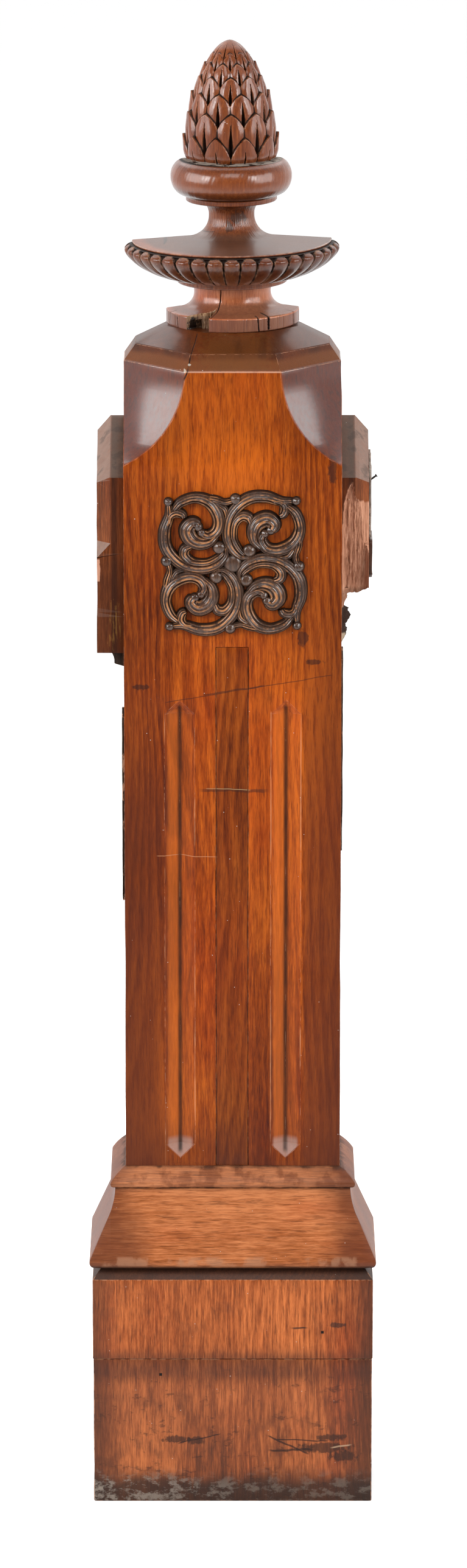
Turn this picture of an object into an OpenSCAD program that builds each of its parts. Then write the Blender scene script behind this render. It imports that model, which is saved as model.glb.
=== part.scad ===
// Carved walnut newel post, sawn in half down the axis of its turned finial.
// The turning axis lies in the flat back, so every piece is drawn around that axis
// with its front towards -Y, and post() moves the whole to the middle of its own foot.

/* [Plinth] */
// Width of the lower tier of the base block
plinth_w = 305.6; // [260:0.1:360]
// Height of the lower tier
plinth_lower_h = 165; // [120:1:220]
// How much wider the upper tier stands on each side
plinth_step = 0.6; // [0:0.1:2]
// Height of the upper tier below its bevel
plinth_upper_h = 91; // [60:1:130]
// Height of the bevel on top of the upper tier
plinth_bevel_h = 12.5; // [6:0.5:20]
// How far that bevel leans in
plinth_bevel_w = 9.8; // [4:0.1:16]

/* [Skirt moulding] */
// How far the skirt's nose overhangs the plinth on each side
skirt_over = 3.7; // [1:0.1:12]
// Width of the ledge between its top edge and the shaft
skirt_ledge = 11.5; // [6:0.1:16]
// Height of the skirt moulding
skirt_h = 86; // [70:1:110]
// Radius of its rounded nose
skirt_nose_r = 8; // [4:0.5:10]
// Radius of the cove under its top edge
skirt_cove_r = 71.5; // [55:0.5:90]

/* [Collar moulding] */
// How far the collar's nose stands out from the shaft
collar_out = 16.6; // [10:0.1:24]
// Height of the collar moulding
collar_h = 21.5; // [14:0.5:30]
// Radius of its nose
collar_nose_r = 4.5; // [2:0.5:6]
// How far its slope bows out from straight
collar_bow = 1.2; // [0:0.1:2]

/* [Shaft] */
// Width of the square shaft
shaft_w = 234; // [200:1:240]
// Length of the shaft from the collar to the cap
shaft_h = 882.4; // [735:0.1:1060]
// Length of each corner scoop along the top edge of a face
scoop_leg = 66.2; // [50:0.2:80]
// Height of each corner scoop
scoop_h = 101.7; // [85:0.1:125]
// Radius of the scoop's curve on a face
scoop_r = 115.5; // [100:0.5:150]
// Rise of the cap's lower weathering
cap_low_h = 17.5; // [10:0.5:25]
// Inset of the cap's lower weathering
cap_low_in = 12.3; // [8:0.1:20]
// Rise of the cap's upper weathering
cap_top_h = 16.4; // [10:0.1:25]
// Inset of the cap's upper weathering
cap_top_in = 34.7; // [20:0.1:38]

/* [Grooves and strip] */
// Distance of each V-groove from the middle of the front
groove_x = 57.3; // [45:0.1:70]
// Width of a V-groove on the face
groove_w = 32.6; // [20:0.2:36]
// Depth of a V-groove
groove_d = 10; // [5:0.5:20]
// Height above the collar at which a groove gets its full width
groove_low = 24; // [20:1:60]
// Distance below the cap at which its full width ends
groove_drop = 374.4; // [330:0.1:420]
// Length of the pointed end of a groove
groove_tip = 16; // [8:1:19]
// Width of the strip let in down the middle of the front
strip_w = 34.3; // [20:0.1:36]
// Where the middle of that strip lies, to the right of the post's middle
strip_x = -0.8; // [-4:0.1:4]
// Distance of the strip's top end below the cap
strip_drop = 300.4; // [290:0.1:340]
// Depth of the strip and its housing
strip_d = 12; // [8:0.5:20]
// Clearance on each side of the strip
strip_gap = 0.2; // [0.1:0.05:0.5]

/* [Rail pads] */
// How far a pad stands out from the shaft
pad_t = 29.3; // [20:0.1:36]
// How far a pad reaches forward from the flat back
pad_d = 93; // [75:1:110]
// Distance of the pads' underside below the cap
pad_drop = 312.4; // [290:0.1:380]
// Height of a pad from its underside to its eaves
pad_h = 193; // [160:1:230]
// Rise of the pad's slope from the eaves to the back
pad_rise = 49.4; // [35:0.1:65]
// Leg of the chamfer down the outer front edge
pad_chamfer = 15; // [8:0.5:20]
// Leg of the chamfer along the slope
slope_chamfer = 14.4; // [8:0.5:20]
// Height above the underside at which the chamfer stops
pad_stop = 121; // [80:1:130]
// Length of the chamfer's pyramid stop
pad_stop_h = 16; // [8:1:24]
// Height of right pad that is torn away at the bottom
torn_h = 64; // [40:1:90]
// Depth of the torn front of the right pad at the bottom
torn_d = 13; // [6:0.5:20]
// Height of the block under the left pad
under_h = 17; // [10:0.5:24]
// How far that block stands out from the shaft
under_t = 15; // [10:0.5:20]

/* [Rail remnant] */
// Thickness of the slice of hand-rail left on the right pad
remnant_t = 3; // [2:0.1:5]
// Thickness of the rounded stub of rail moulding below it
stub_t = 4.8; // [3:0.1:7]
// Diameter of the nail's shank
nail_d = 2; // [1.5:0.1:3]
// Length of the nail that shows
nail_len = 9.6; // [7:0.1:9.6]
// Diameter of the nail's head
nail_head_d = 3.4; // [2.5:0.1:5]
// Thickness of the torn strips at the back edge of the side faces
rag_t = 4.2; // [2:0.1:6]

/* [Scroll ornament] */
// Width and height of the applied ornament
scroll_w = 160; // [130:1:180]
// Thickness of its frets
scroll_t = 9; // [6:0.5:12]
// Distance of its middle below the cap
scroll_drop = 207.4; // [195:0.1:215]

/* [Finial] */
// Lean of the finial to the left, in degrees
finial_lean = 0.6; // [0:0.1:1.5]
// Diameter of the base disc
disc_w = 143.2; // [120:0.2:150]
// Height of the base disc
disc_h = 15; // [10:0.5:20]
// Height of the foot, from the cap to the dish
foot_h = 44; // [38:0.5:60]
// Diameter of the foot's neck
foot_neck_w = 82.6; // [70:0.2:90]
// Diameter of the dish over its gadroons
dish_w = 232.8; // [190:0.2:280]
// Diameter of its top rim
rim_w = 214; // [180:0.2:220]
// Diameter of the fillet under the dish
dish_fillet_w = 119; // [100:1:125]
// Height of the fillet under the dish
dish_fillet_h = 6; // [3:0.5:10]
// Height of the dish from its fillet to its rim
dish_h = 39.5; // [32:0.5:50]
// Height of the widest part of the gadroons above the fillet
dish_belly_h = 31.5; // [24:0.5:34]
// Depth of the grooves between gadroons
gadroon_d = 4.5; // [2:0.5:6]
// Number of gadroons round the full circle
gadroons = 39; // [25:2:49]
// Height of the dished top and upper neck above the rim
neck_h = 42.7; // [36:0.1:55]
// Diameter of the upper neck
neck_w = 49; // [40:0.5:60]
// Diameter of the fillet under the torus
torus_fillet_w = 98; // [80:1:104]
// Height of the fillet under the torus
torus_fillet_h = 6.5; // [3:0.5:10]
// Diameter of the torus
torus_w = 130.6; // [110:0.2:150]
// Height of the torus
torus_h = 39; // [30:0.5:50]
// Widest diameter of the scaled cone
cone_w = 106; // [90:1:112]
// Height of the scaled cone
cone_h = 127; // [105:1:155]
// Number of scales round the full circle
scales = 10; // [8:2:14]
// Depth to which a scale sinks below the tips of its neighbours
scale_d = 4.5; // [2:0.5:6]

/* [Hidden] */
$fn = 64;

// Wood colours
base_wood = "#8a4a24";
moulding_wood = "#9a5a34";
shaft_wood = "#8c3f16";
dark_wood = "#4a2a1c";
raw_wood = "#a87858";
bronze_wood = "#5a4436";
finial_wood = "#74381c";
iron = "#5c5c5c";

// Heights of the joints, from the floor up
plinth_top = plinth_lower_h + plinth_upper_h + plinth_bevel_h;
skirt_top = plinth_top + skirt_h;
collar_top = skirt_top + collar_h;
shaft_top = collar_top + shaft_h;
seat = shaft_top + cap_low_h + cap_top_h;
dish_foot = seat + foot_h;
torus_foot = dish_foot + dish_fillet_h + dish_h + neck_h;
cone_foot = torus_foot + torus_fillet_h + torus_h;
tip = cone_foot + cone_h;

half = shaft_w / 2;
skirt_w = plinth_w + 2 * skirt_over;
pad_low = shaft_top - pad_drop;
pad_eaves = pad_low + pad_h;
pad_face = half + pad_t;
reach = skirt_w;
eps = 0.01;

// Moves what is drawn round the turning axis so that the origin is the middle of the foot
module post() translate([0, skirt_w / 4, 0]) children();

// Keeps the half that stands in front of the flat back
module front_half() {
    intersection() {
        children();
        translate([-reach, -reach, -reach]) cube([2 * reach, reach, tip + 2 * reach]);
    }
}

// Points on an arc round [x, y] from angle a to angle b
function arc(x, y, r, a, b, n = 12) =
    [for (i = [0:n]) [x + r * cos(a + (b - a) * i / n), y + r * sin(a + (b - a) * i / n)]];

// Points on a shallow arc from p to q that bows out to the right by sag
function bow(p, q, sag, n = 8) =
    let (d = q - p, side = [d[1], -d[0]] / norm(d))
    [for (i = [0:n]) let (t = i / n) p + d * t + side * (4 * sag * t * (1 - t))];

// ---- Plinth ----

module plinth_block(w, h) translate([-w / 2, -w / 2, 0]) cube([w, w / 2, h]);

module plinth_lower() post() color(base_wood) plinth_block(plinth_w, plinth_lower_h);

// Outline of the upper tier seen from the front, the same on all three sides
function upper_outline(w) = [
    [-w, 0], [w, 0], [w, plinth_upper_h],
    [w - plinth_bevel_w, plinth_upper_h + plinth_bevel_h],
    [-w + plinth_bevel_w, plinth_upper_h + plinth_bevel_h], [-w, plinth_upper_h],
];

module plinth_upper() {
    w = plinth_w / 2 + plinth_step;
    post() translate([0, 0, plinth_lower_h]) color(base_wood)
        front_half() intersection() {
            along_y() linear_extrude(2 * w + 2, center = true) polygon(upper_outline(w));
            rotate([0, 0, 90]) along_y()
                linear_extrude(2 * w + 2, center = true) polygon(upper_outline(w));
        }
}

// Lays a flat drawing upright in the XZ plane, extruded along Y
module along_y() rotate([90, 0, 0]) children();

// ---- Mitred mouldings ----

// The three lengths of a moulding meet on the diagonals through the axis
module front_mitre(h) linear_extrude(h)
    polygon([[0, 0], [-reach, -reach], [reach, -reach]]);
module side_mitre(h) linear_extrude(h) polygon([[0, 0], [reach, -reach], [reach, 0]]);

module front_length(outline, z, h) translate([0, 0, z]) intersection() {
    front_mitre(h);
    rotate([0, 0, -90]) along_y() linear_extrude(2 * reach, center = true) polygon(outline);
}

module side_length(outline, z, h) translate([0, 0, z]) intersection() {
    side_mitre(h);
    along_y() linear_extrude(2 * reach, center = true) polygon(outline);
}

// The slope of the skirt is the line that touches both its nose and its cove
skirt_nose = [skirt_w / 2 - skirt_nose_r, skirt_nose_r];
skirt_cove = [half + skirt_ledge + skirt_cove_r, skirt_h];
skirt_run = skirt_cove - skirt_nose;
skirt_lean = atan2(skirt_run[1], skirt_run[0])
    - acos((skirt_nose_r + skirt_cove_r) / norm(skirt_run));
skirt_outline = concat(
    [[half, 0]],
    arc(skirt_nose[0], skirt_nose[1], skirt_nose_r, -90, skirt_lean, 10),
    arc(skirt_cove[0], skirt_cove[1], skirt_cove_r, 180 + skirt_lean, 180, 10),
    [[half, skirt_h]]);

module skirt_front() post() color(moulding_wood)
    front_length(skirt_outline, plinth_top, skirt_h);
module skirt_right() post() color(moulding_wood)
    side_length(skirt_outline, plinth_top, skirt_h);
module skirt_left() post() color(moulding_wood)
    mirror([1, 0, 0]) side_length(skirt_outline, plinth_top, skirt_h);

// The collar has a round nose and a slightly bowed slope up to the shaft
collar_nose = [half + collar_out - collar_nose_r, collar_nose_r];
collar_slope = bow(collar_nose + collar_nose_r * [cos(25), sin(25)], [half, collar_h],
    collar_bow);
collar_outline = concat(
    [[half, 0]],
    arc(collar_nose[0], collar_nose[1], collar_nose_r, -90, 20, 8),
    collar_slope);

module collar_front() post() color(moulding_wood)
    front_length(collar_outline, skirt_top, collar_h);
module collar_right() post() color(moulding_wood)
    side_length(collar_outline, skirt_top, collar_h);
module collar_left() post() color(moulding_wood)
    mirror([1, 0, 0]) side_length(collar_outline, skirt_top, collar_h);

// ---- Shaft ----

// Each scoop is a hollow across a corner, ruled level at 45 degrees. On a face its edge
// is an arc from the top edge down to the arris.
scoop_chord = norm([scoop_leg, scoop_h]);
scoop_reach = sqrt(scoop_r * scoop_r - scoop_chord * scoop_chord / 4);
scoop_centre = [
    half - scoop_leg / 2 + scoop_reach * scoop_h / scoop_chord,
    -scoop_h / 2 + scoop_reach * scoop_leg / scoop_chord,
];
scoop_from = atan2(-scoop_h - scoop_centre[1], half - scoop_centre[0]);
scoop_to = asin(scoop_centre[1] / scoop_r) - 180;
scoop_edge = arc(scoop_centre[0], scoop_centre[1], scoop_r, scoop_from, scoop_to, 20);

// The same edge measured out along the diagonal
function on_diagonal(p) = [(p[0] + half) / sqrt(2), p[1]];

module scoop_cut() {
    out = half * sqrt(2) + 5;
    translate([0, 0, shaft_top]) rotate([0, 0, -45]) along_y()
        linear_extrude(2 * half, center = true)
            polygon(concat(
                [for (p = scoop_edge) on_diagonal(p)],
                [[on_diagonal(scoop_edge[len(scoop_edge) - 1])[0], cap_low_h + cap_top_h + 5],
                 [out, cap_low_h + cap_top_h + 5], [out, -scoop_h - eps]]));
}

// Weathering of the cap: two slopes on each of its eight sides, set by how far the side
// stands from the axis
module cap_side(apothem, turn) {
    mid = apothem - cap_low_in;
    top = mid - cap_top_in;
    rotate([0, 0, turn]) along_y() linear_extrude(2 * shaft_w, center = true)
        polygon([
            [-apothem, -tip], [apothem, -tip], [apothem, 0],
            [mid, cap_low_h], [top, cap_low_h + cap_top_h],
            [-top, cap_low_h + cap_top_h], [-mid, cap_low_h], [-apothem, 0],
        ]);
}

module cap_cut_block() {
    corner = shaft_w / sqrt(2) - scoop_leg / sqrt(2);
    translate([0, 0, shaft_top]) intersection() {
        cap_side(half, 0);
        cap_side(half, 90);
        union() {
            intersection() {
                cap_side(corner, 45);
                cap_side(corner, -45);
            }
            translate([-reach, -reach, -tip]) cube([2 * reach, 2 * reach, tip]);
        }
    }
}

// A V-groove with pointed ends, as the solid that is cut away
module groove_cut(x) {
    low = collar_top + groove_low;
    high = shaft_top - groove_drop;
    grow = (groove_d + 1) / groove_d;
    w = groove_w / 2 * grow;
    y = -half - 1;
    yd = -half + groove_d;
    t = groove_tip * grow;
    polyhedron(
        points = [
            [x, y, low - t], [x - w, y, low], [x + w, y, low], [x, yd, low],
            [x - w, y, high], [x + w, y, high], [x, yd, high], [x, y, high + t],
        ],
        faces = [
            [0, 3, 1], [0, 2, 3], [1, 3, 6], [1, 6, 4], [3, 2, 5], [3, 5, 6],
            [4, 6, 7], [6, 5, 7], [0, 1, 4], [0, 4, 7], [0, 7, 5], [0, 5, 2],
        ]);
}

module strip_block(gap) {
    translate([strip_x - strip_w / 2 - gap, -half - gap, collar_top])
        cube([strip_w + 2 * gap, strip_d + gap, shaft_h - strip_drop + gap]);
}

module shaft() {
    post() color(shaft_wood) difference() {
        intersection() {
            translate([-half, -half, plinth_top]) cube([shaft_w, half, seat - plinth_top]);
            cap_cut_block();
        }
        scoop_cut();
        mirror([1, 0, 0]) scoop_cut();
        groove_cut(-groove_x);
        groove_cut(groove_x);
        strip_block(strip_gap);
    }
}

module centre_strip() post() color(shaft_wood) strip_block(0);

// ---- Rail pads ----

// Side view of a pad: its front edge, and the slope that rises to the back
function pad_outline(low) = [
    [0, low], [-pad_d, low], [-pad_d, pad_eaves], [0, pad_eaves + pad_rise],
];

// Extrudes a side view (forward distance, height) outwards from a side face
module sideways(x, t) translate([x, 0, 0]) rotate([90, 0, 90]) linear_extrude(t) children();

// What the chamfer takes off the outer edge of a pad: along the slope, and down the front
// as far as its pyramid stop
module pad_chamfer_cut() {
    slope = atan2(pad_rise, pad_d);
    leg = pad_chamfer + 1;
    stop = pad_low + pad_stop;
    top = pad_eaves + pad_rise;
    x = pad_face + 1;
    y = -pad_d - 1;
    translate([pad_face, -pad_d, pad_eaves]) rotate([slope, 0, 0])
        translate([0, -pad_d, 0]) rotate([-90, 0, 0]) mirror([0, 1, 0])
            linear_extrude(3 * pad_d)
                polygon([[-slope_chamfer - 1, 1], [1, 1], [1, -slope_chamfer - 1]]);
    polyhedron(
        points = [
            [x - leg - 1, y, stop], [x, y, stop], [x, y + leg + 1, stop],
            [x - leg - 1, y, top], [x, y, top], [x, y + leg + 1, top],
            [x, y, stop - pad_stop_h * (leg + 1) / pad_chamfer],
        ],
        faces = [
            [0, 3, 4, 1], [1, 4, 5, 2], [2, 5, 3, 0], [3, 5, 4],
            [0, 1, 6], [1, 2, 6], [2, 0, 6],
        ]);
}

module pad(low) difference() {
    sideways(half, pad_t) polygon(pad_outline(low));
    pad_chamfer_cut();
}

module pad_left() post() color(dark_wood) mirror([1, 0, 0]) pad(pad_low);

// Small block under the left pad, its outer face hollowed like a broken moulding
module pad_left_under() {
    post() color(dark_wood) mirror([1, 0, 0]) translate([half, 0, pad_low])
        along_y() linear_extrude(pad_d - 8)
            polygon(concat([[0, 0], [0, -under_h]], [[under_t - 5, -under_h + 3]],
                bow([under_t - 4, -under_h + 4], [under_t, 0], -1.5, 4)));
}

// The right pad has split away below: its front is torn back in an uneven slope
// and its foot ends in a broken edge that climbs outwards
module pad_right() {
    low = pad_low + torn_h;
    tear = [
        [-pad_d - 1, pad_eaves - 9], [-pad_d + 4, pad_eaves - 38],
        [-pad_d + 7, low + 50], [-pad_d + torn_d, low - 2], [-pad_d - 1, low - 2],
    ];
    post() color(raw_wood) difference() {
        pad(low);
        sideways(half + 9, pad_t) polygon(tear);
        translate([half + pad_t / 2, 0, low - eps]) along_y() linear_extrude(2 * pad_d + 4)
            polygon([[0, 0], [pad_t / 2 + 1, 0], [pad_t / 2 + 1, 9]]);
    }
}

// Slice of hand-rail on the outer face of the right pad, ragged all round. Distances
// forward are shares of the flat part of that face.
remnant_edge = [
    [0, 66], [-0.18, 61], [-0.35, 68], [-0.53, 57], [-0.7, 60], [-0.85, 48],
    [-0.8, 30], [-0.86, 12], [-0.74, -6], [-0.82, -18], [-0.56, -15], [-0.38, -22],
    [-0.15, -16], [0, -20],
];

module rail_remnant() {
    post() color(raw_wood) difference() {
        translate([0, 0, pad_low + pad_h - 54])
            sideways(pad_face, remnant_t)
                polygon([for (p = remnant_edge) [p[0] * (pad_d - pad_chamfer), p[1]]]);
        nail_at() cylinder(d = nail_d, h = nail_len);
    }
}

// Rounded end of the rail's moulding below it
module rail_stub() {
    stub_low = pad_low + torn_h + 7;
    stub_high = pad_low + pad_h - 54 - 24;
    r = 7;
    post() color(dark_wood) sideways(pad_face, stub_t)
        polygon(concat(
            [[0, stub_low], [0, stub_high]],
            arc(-pad_d / 2 + r, stub_high - r, r, 90, 180, 6),
            arc(-pad_d / 2 + r, stub_low + r, r, 180, 270, 6)));
}

// The nail leans up out of the remnant
nail_lean = 37;
module nail_at() translate([pad_face + 0.8, -pad_d / 2, pad_eaves - 13])
    rotate([0, 90 - nail_lean, 0]) children();

module nail() post() color(iron) nail_at() {
    cylinder(d = nail_d, h = nail_len);
    translate([0, 0, nail_len - 0.8]) cylinder(d = nail_head_d, h = 1);
}

// Torn strips left standing at the back edge of the side faces
module rag(low, high, t) {
    d = 12;
    sideways(half, t) polygon([
        [0, low], [-d * 0.7, low + 9], [-d, low + (high - low) * 0.4],
        [-d * 0.8, low + (high - low) * 0.7], [-d * 0.9, high - 14], [0, high],
    ]);
}

module back_strip_left() post() color(dark_wood)
    mirror([1, 0, 0]) rag(pad_low - 302, pad_low - 82, rag_t);
module back_strip_right() post() color(dark_wood)
    rag(pad_low - 246, pad_low - 14, rag_t * 0.8);

// ---- Scroll ornament ----

// Each stroke is a line of [x, z, width] through one quarter of the ornament, whose four
// quarters are the same whorl turned about the middle. Sizes are for a 160 mm ornament.
scroll_strokes = [
    [[-71, 69, 5], [-70, 54, 8], [-75, 37, 10], [-74, 20, 10.5], [-66, 7, 10],
     [-52, -3, 10], [-34, -6, 10], [-19, -2, 9], [-9, 7, 7], [-7.5, 16, 5], [-11, 22, 4]],
    [[-66, 59, 6], [-57, 69, 8.5], [-42, 74, 9], [-28, 70.5, 10.5], [-19, 61, 11],
     [-15, 48, 10.5], [-18, 36, 9.5], [-28, 31, 9]],
    [[-34, 74, 5], [-20, 72, 7], [-9, 69, 6], [1, 71, 6]],
    [[-19, 68, 6], [-9, 61, 7], [-7, 50, 3]],
    [[-40, 45, 8], [-48, 45, 9], [-52, 37, 10], [-48, 28, 11], [-38, 23, 9],
     [-26, 24.5, 8], [-18, 32, 6]],
    [[-70, 57, 7], [-62, 55, 8], [-54, 51, 8]],
    [[-44, 20, 5], [-52, 17, 9], [-53, 9, 9], [-44, 1.5, 8], [-28, 1, 7], [-15, 8, 6],
     [-10, 14, 5]],
    [[-12, 3, 8], [-5, 2, 9], [2, 3, 9]],
];
// Balls and knobs at the ends of the strokes: [x, z, radius]
scroll_balls = [[-15, 18.5, 6.8], [3, 73, 5.8], [-29, 35, 6], [-38.5, 43, 5.5],
    [-71, 70, 4.6], [-52, 51, 4.5]];

// Point at t between p1 and p2 on a smooth line through p0, p1, p2, p3
function between(p0, p1, p2, p3, t) =
    (2 * p1 + (p2 - p0) * t + (2 * p0 - 5 * p1 + 4 * p2 - p3) * t * t
        + (3 * p1 - p0 - 3 * p2 + p3) * t * t * t) / 2;
function smooth(s, n = 4) = let (m = len(s) - 1) concat(
    [for (k = [0:m - 1], i = [0:n - 1])
        between(s[max(k - 1, 0)], s[k], s[k + 1], s[min(k + 2, m)], i / n)],
    [s[m]]);
function edge_point(s, i, side) =
    let (a = s[max(i - 1, 0)], b = s[min(i + 1, len(s) - 1)],
        d = [b[0] - a[0], b[1] - a[1]], n = [-d[1], d[0]] / norm(d))
    [s[i][0], s[i][1]] + n * side * s[i][2] / 2;

module stroke(s) {
    line = smooth(s);
    m = len(line) - 1;
    polygon(concat(
        [for (i = [0:m]) edge_point(line, i, 1)],
        [for (i = [m:-1:0]) edge_point(line, i, -1)]));
}

module scroll_ornament() {
    thick = scroll_t * 160 / scroll_w;
    post() color(bronze_wood) translate([0, -half, shaft_top - scroll_drop]) along_y()
        scale(scroll_w / 160) for (turn = [0:90:270]) rotate(turn) {
            for (s = scroll_strokes) linear_extrude(thick) stroke(s);
            for (b = scroll_balls) translate([b[0], b[1], 0]) cylinder(r = b[2], h = thick + 0.8);
        }
}

// ---- Finial ----

// The whole finial leans as one about the middle of the cap's seat
module finial() post() translate([0, 0, seat]) rotate([0, -finial_lean, 0])
    translate([0, 0, -seat]) children();

module turned(outline) rotate_extrude($fn = 96) polygon(outline);

foot_outline = let (r = foot_neck_w / 2, d = disc_w / 2) concat(
    [[0, seat - 2], [d, seat - 2], [d, seat + disc_h - 1], [d - 1, seat + disc_h],
     [r + 16, seat + disc_h + 2]],
    arc(r + 15.5, seat + disc_h + 17.5, 15.5, 270, 180, 8),
    [[r + 0.8, dish_foot], [0, dish_foot]]);

// A piece was split out of the base disc, back to a point near the neck. Its outline is in
// shares of the disc's radius.
module disc_break() translate([0, 0, seat - 3]) linear_extrude(disc_h + 12)
    polygon(disc_w / 2 * [[-0.98, -1.03], [-0.69, -0.72], [-0.47, -0.64], [-0.24, -0.61],
        [-0.34, -0.77], [-0.42, -0.91], [-0.47, -1.12]]);

module finial_foot() {
    color(finial_wood) difference() {
        finial() front_half() difference() {
            turned(foot_outline);
            disc_break();
        }
        post() translate([-reach, -reach, seat - reach]) cube([2 * reach, 2 * reach, reach]);
    }
}

// The front half of a turned solid whose radius also changes round the axis: ring_r gives
// the radius of ring k at angle a, and levels the height of each ring. It runs a little
// past the flat back, where front_half() cuts it.
module carved(levels, columns, peak, ring_r) {
    rings = len(levels) - 1;
    past = 2;
    n = columns + 3;
    top = len(levels) * n;
    function at(k, i) = k * n + i;
    function ring(k) = concat(
        [[ring_r(k, 0), past, levels[k]]],
        [for (i = [0:columns]) let (a = 180 * i / columns, r = ring_r(k, a))
            [r * cos(a), -r * sin(a), levels[k]]],
        [[-ring_r(k, 180), past, levels[k]]]);
    points = concat([for (k = [0:rings], p = ring(k)) p], [[0, 0, peak]]);
    sides = [for (k = [0:rings - 1], i = [0:n - 2], upper = [0, 1])
        upper == 0 ? [at(k, i), at(k, i + 1), at(k + 1, i + 1)]
            : [at(k, i), at(k + 1, i + 1), at(k + 1, i)]];
    fan = [for (i = [0:n - 2]) [at(rings, i), at(rings, i + 1), top]];
    foot = [[for (i = [n - 1:-1:0]) at(0, i)]];
    back = [concat([for (k = [0:rings]) at(k, 0)],
        [for (k = [rings:-1:0]) at(k, n - 1)])];
    shoulder = [[at(rings, n - 1), at(rings, 0), top]];
    polyhedron(points = points, faces = concat(sides, fan, foot, back, shoulder));
}

// Gadroons: round-backed lobes that swell from under the dish to its belly and end in
// round heads under the rim
lobe_rings = 11;
dish_base = dish_foot + dish_fillet_h;
lobe_levels = [
    for (k = [0:lobe_rings]) let (t = 90 * (1 - k / lobe_rings))
        dish_base - 1 + (dish_belly_h + 1) * (1 - pow(sin(t), 1.25)),
    dish_base + dish_belly_h + (dish_h - dish_belly_h) * 0.4,
    dish_base + dish_belly_h + (dish_h - dish_belly_h) * 0.75,
];
function lobe_out(k) = let (w = dish_fillet_w / 2 - 2, belly = dish_w / 2 - w)
    k <= lobe_rings ? w + belly * pow(cos(90 * (1 - k / lobe_rings)), 1.25)
        : k == lobe_rings + 1 ? dish_w / 2 - 1 : dish_w / 2 - 4.5;
function lobe_groove(k) = k == 0 ? 0 : k > lobe_rings + 1 ? 0
    : gadroon_d * min(1, 0.35 + k / lobe_rings);
function lobe_across(a) = let (u = (a - 90) * gadroons / 360) 2 * abs(u - round(u));

module gadroon_band() {
    carved(lobe_levels, 2 * gadroons, dish_base + dish_h - 1,
        function(k, a) lobe_out(k)
            - lobe_groove(k) * (1 - sqrt(1 - 0.96 * lobe_across(a) * lobe_across(a))));
}

// The dished top runs up in one hollow sweep from the rim to the upper neck
dish_outline = let (rim = dish_base + dish_h, f = dish_fillet_w / 2, n = neck_w / 2) concat(
    [[0, dish_foot], [f, dish_foot], [f, dish_base], [0.8 * f, dish_base],
     [0.8 * f, rim - 3], [rim_w / 2, rim - 3], [rim_w / 2, rim]],
    arc(n + 22, rim + 26, 22, 270, 180, 10),
    arc(n + 16, rim + 28, 16, 180, 180 - asin((neck_h - 28) / 16), 5),
    [[0, torus_foot]]);

module finial_dish() finial() color(finial_wood) front_half() union() {
    turned(dish_outline);
    gadroon_band();
}

// Scales stand in rows, each row turned half a scale against the one below it. Heights of
// the tips, as shares of the cone's height.
tip_shares = [0.217, 0.415, 0.575, 0.712, 0.821, 0.904];
pitch = 360 / scales;
function tip_z(k) = k < 0 ? cone_foot - 0.2 * cone_h : cone_foot + cone_h * tip_shares[k];
function tip_turn(k) = k % 2 == 0 ? pitch / 2 : 0;
// Outline of the cone: nearly upright at its foot, drawn in to a blunt point
function cone_r(z) = let (low = cone_foot + 0.08 * cone_h, t = (z - low) / (tip - low))
    cone_w / 2 * pow(max(0, 1 - pow(abs(t), 1.9) * (t < 0 ? 9 : 1)), 0.6);
function across(k, a) = let (u = (a - 90 - tip_turn(k)) / pitch) 2 * abs(u - round(u));
function leaf_w(t) = t >= 1 ? 1.04 : t <= 0 ? 0 : pow(sin(90 * t), 0.75);

// Depth below the envelope of the lowest scale that covers the place
function scale_sink(a, z, k = 0) =
    k >= len(tip_shares) ? 1.2
    : let (t = (tip_z(k) - z) / (tip_z(k) - tip_z(k - 1)), u = across(k, a))
      t > 0 && u <= leaf_w(t)
        ? scale_d * min(1, t / 2) + 1.2 * u * u + (u < 0.09 && t > 0.5 ? 1.5 * min(1, t - 0.5) : 0)
        : scale_sink(a, z, k + 1);

scale_rows = 30;
scale_columns = 60;
scale_levels = [for (k = [0:scale_rows]) cone_foot - 3
    + (cone_h + 2) * (1 - pow(1 - k / scale_rows, 1.3)) * 0.995];

module scaled_cone() {
    carved(scale_levels, scale_columns, tip,
        function(k, a) max(2, cone_r(scale_levels[k]) - scale_sink(a, scale_levels[k])));
}

torus_outline = let (w = torus_w / 2, f = torus_fillet_w / 2, mid = torus_h / 2,
        base = torus_foot + torus_fillet_h, bulge = w - f - 1) concat(
    [[0, torus_foot], [f, torus_foot], [f, base], [f + 1, base]],
    [for (a = [-80:10:80]) [f + 1 + bulge * cos(a), base + mid + mid * sin(a)]],
    [[f + 2, base + torus_h], [0, base + torus_h]]);

module finial_cone() finial() color(finial_wood) front_half() union() {
    turned(torus_outline);
    scaled_cone();
}

plinth_lower();
plinth_upper();
skirt_front();
skirt_left();
skirt_right();
collar_front();
collar_left();
collar_right();
shaft();
centre_strip();
scroll_ornament();
pad_left();
pad_left_under();
pad_right();
rail_remnant();
rail_stub();
nail();
back_strip_left();
back_strip_right();
finial_foot();
finial_dish();
finial_cone();
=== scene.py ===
import math

import bmesh
import bpy
import numpy as np
from mathutils import Matrix, Vector, noise


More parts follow.
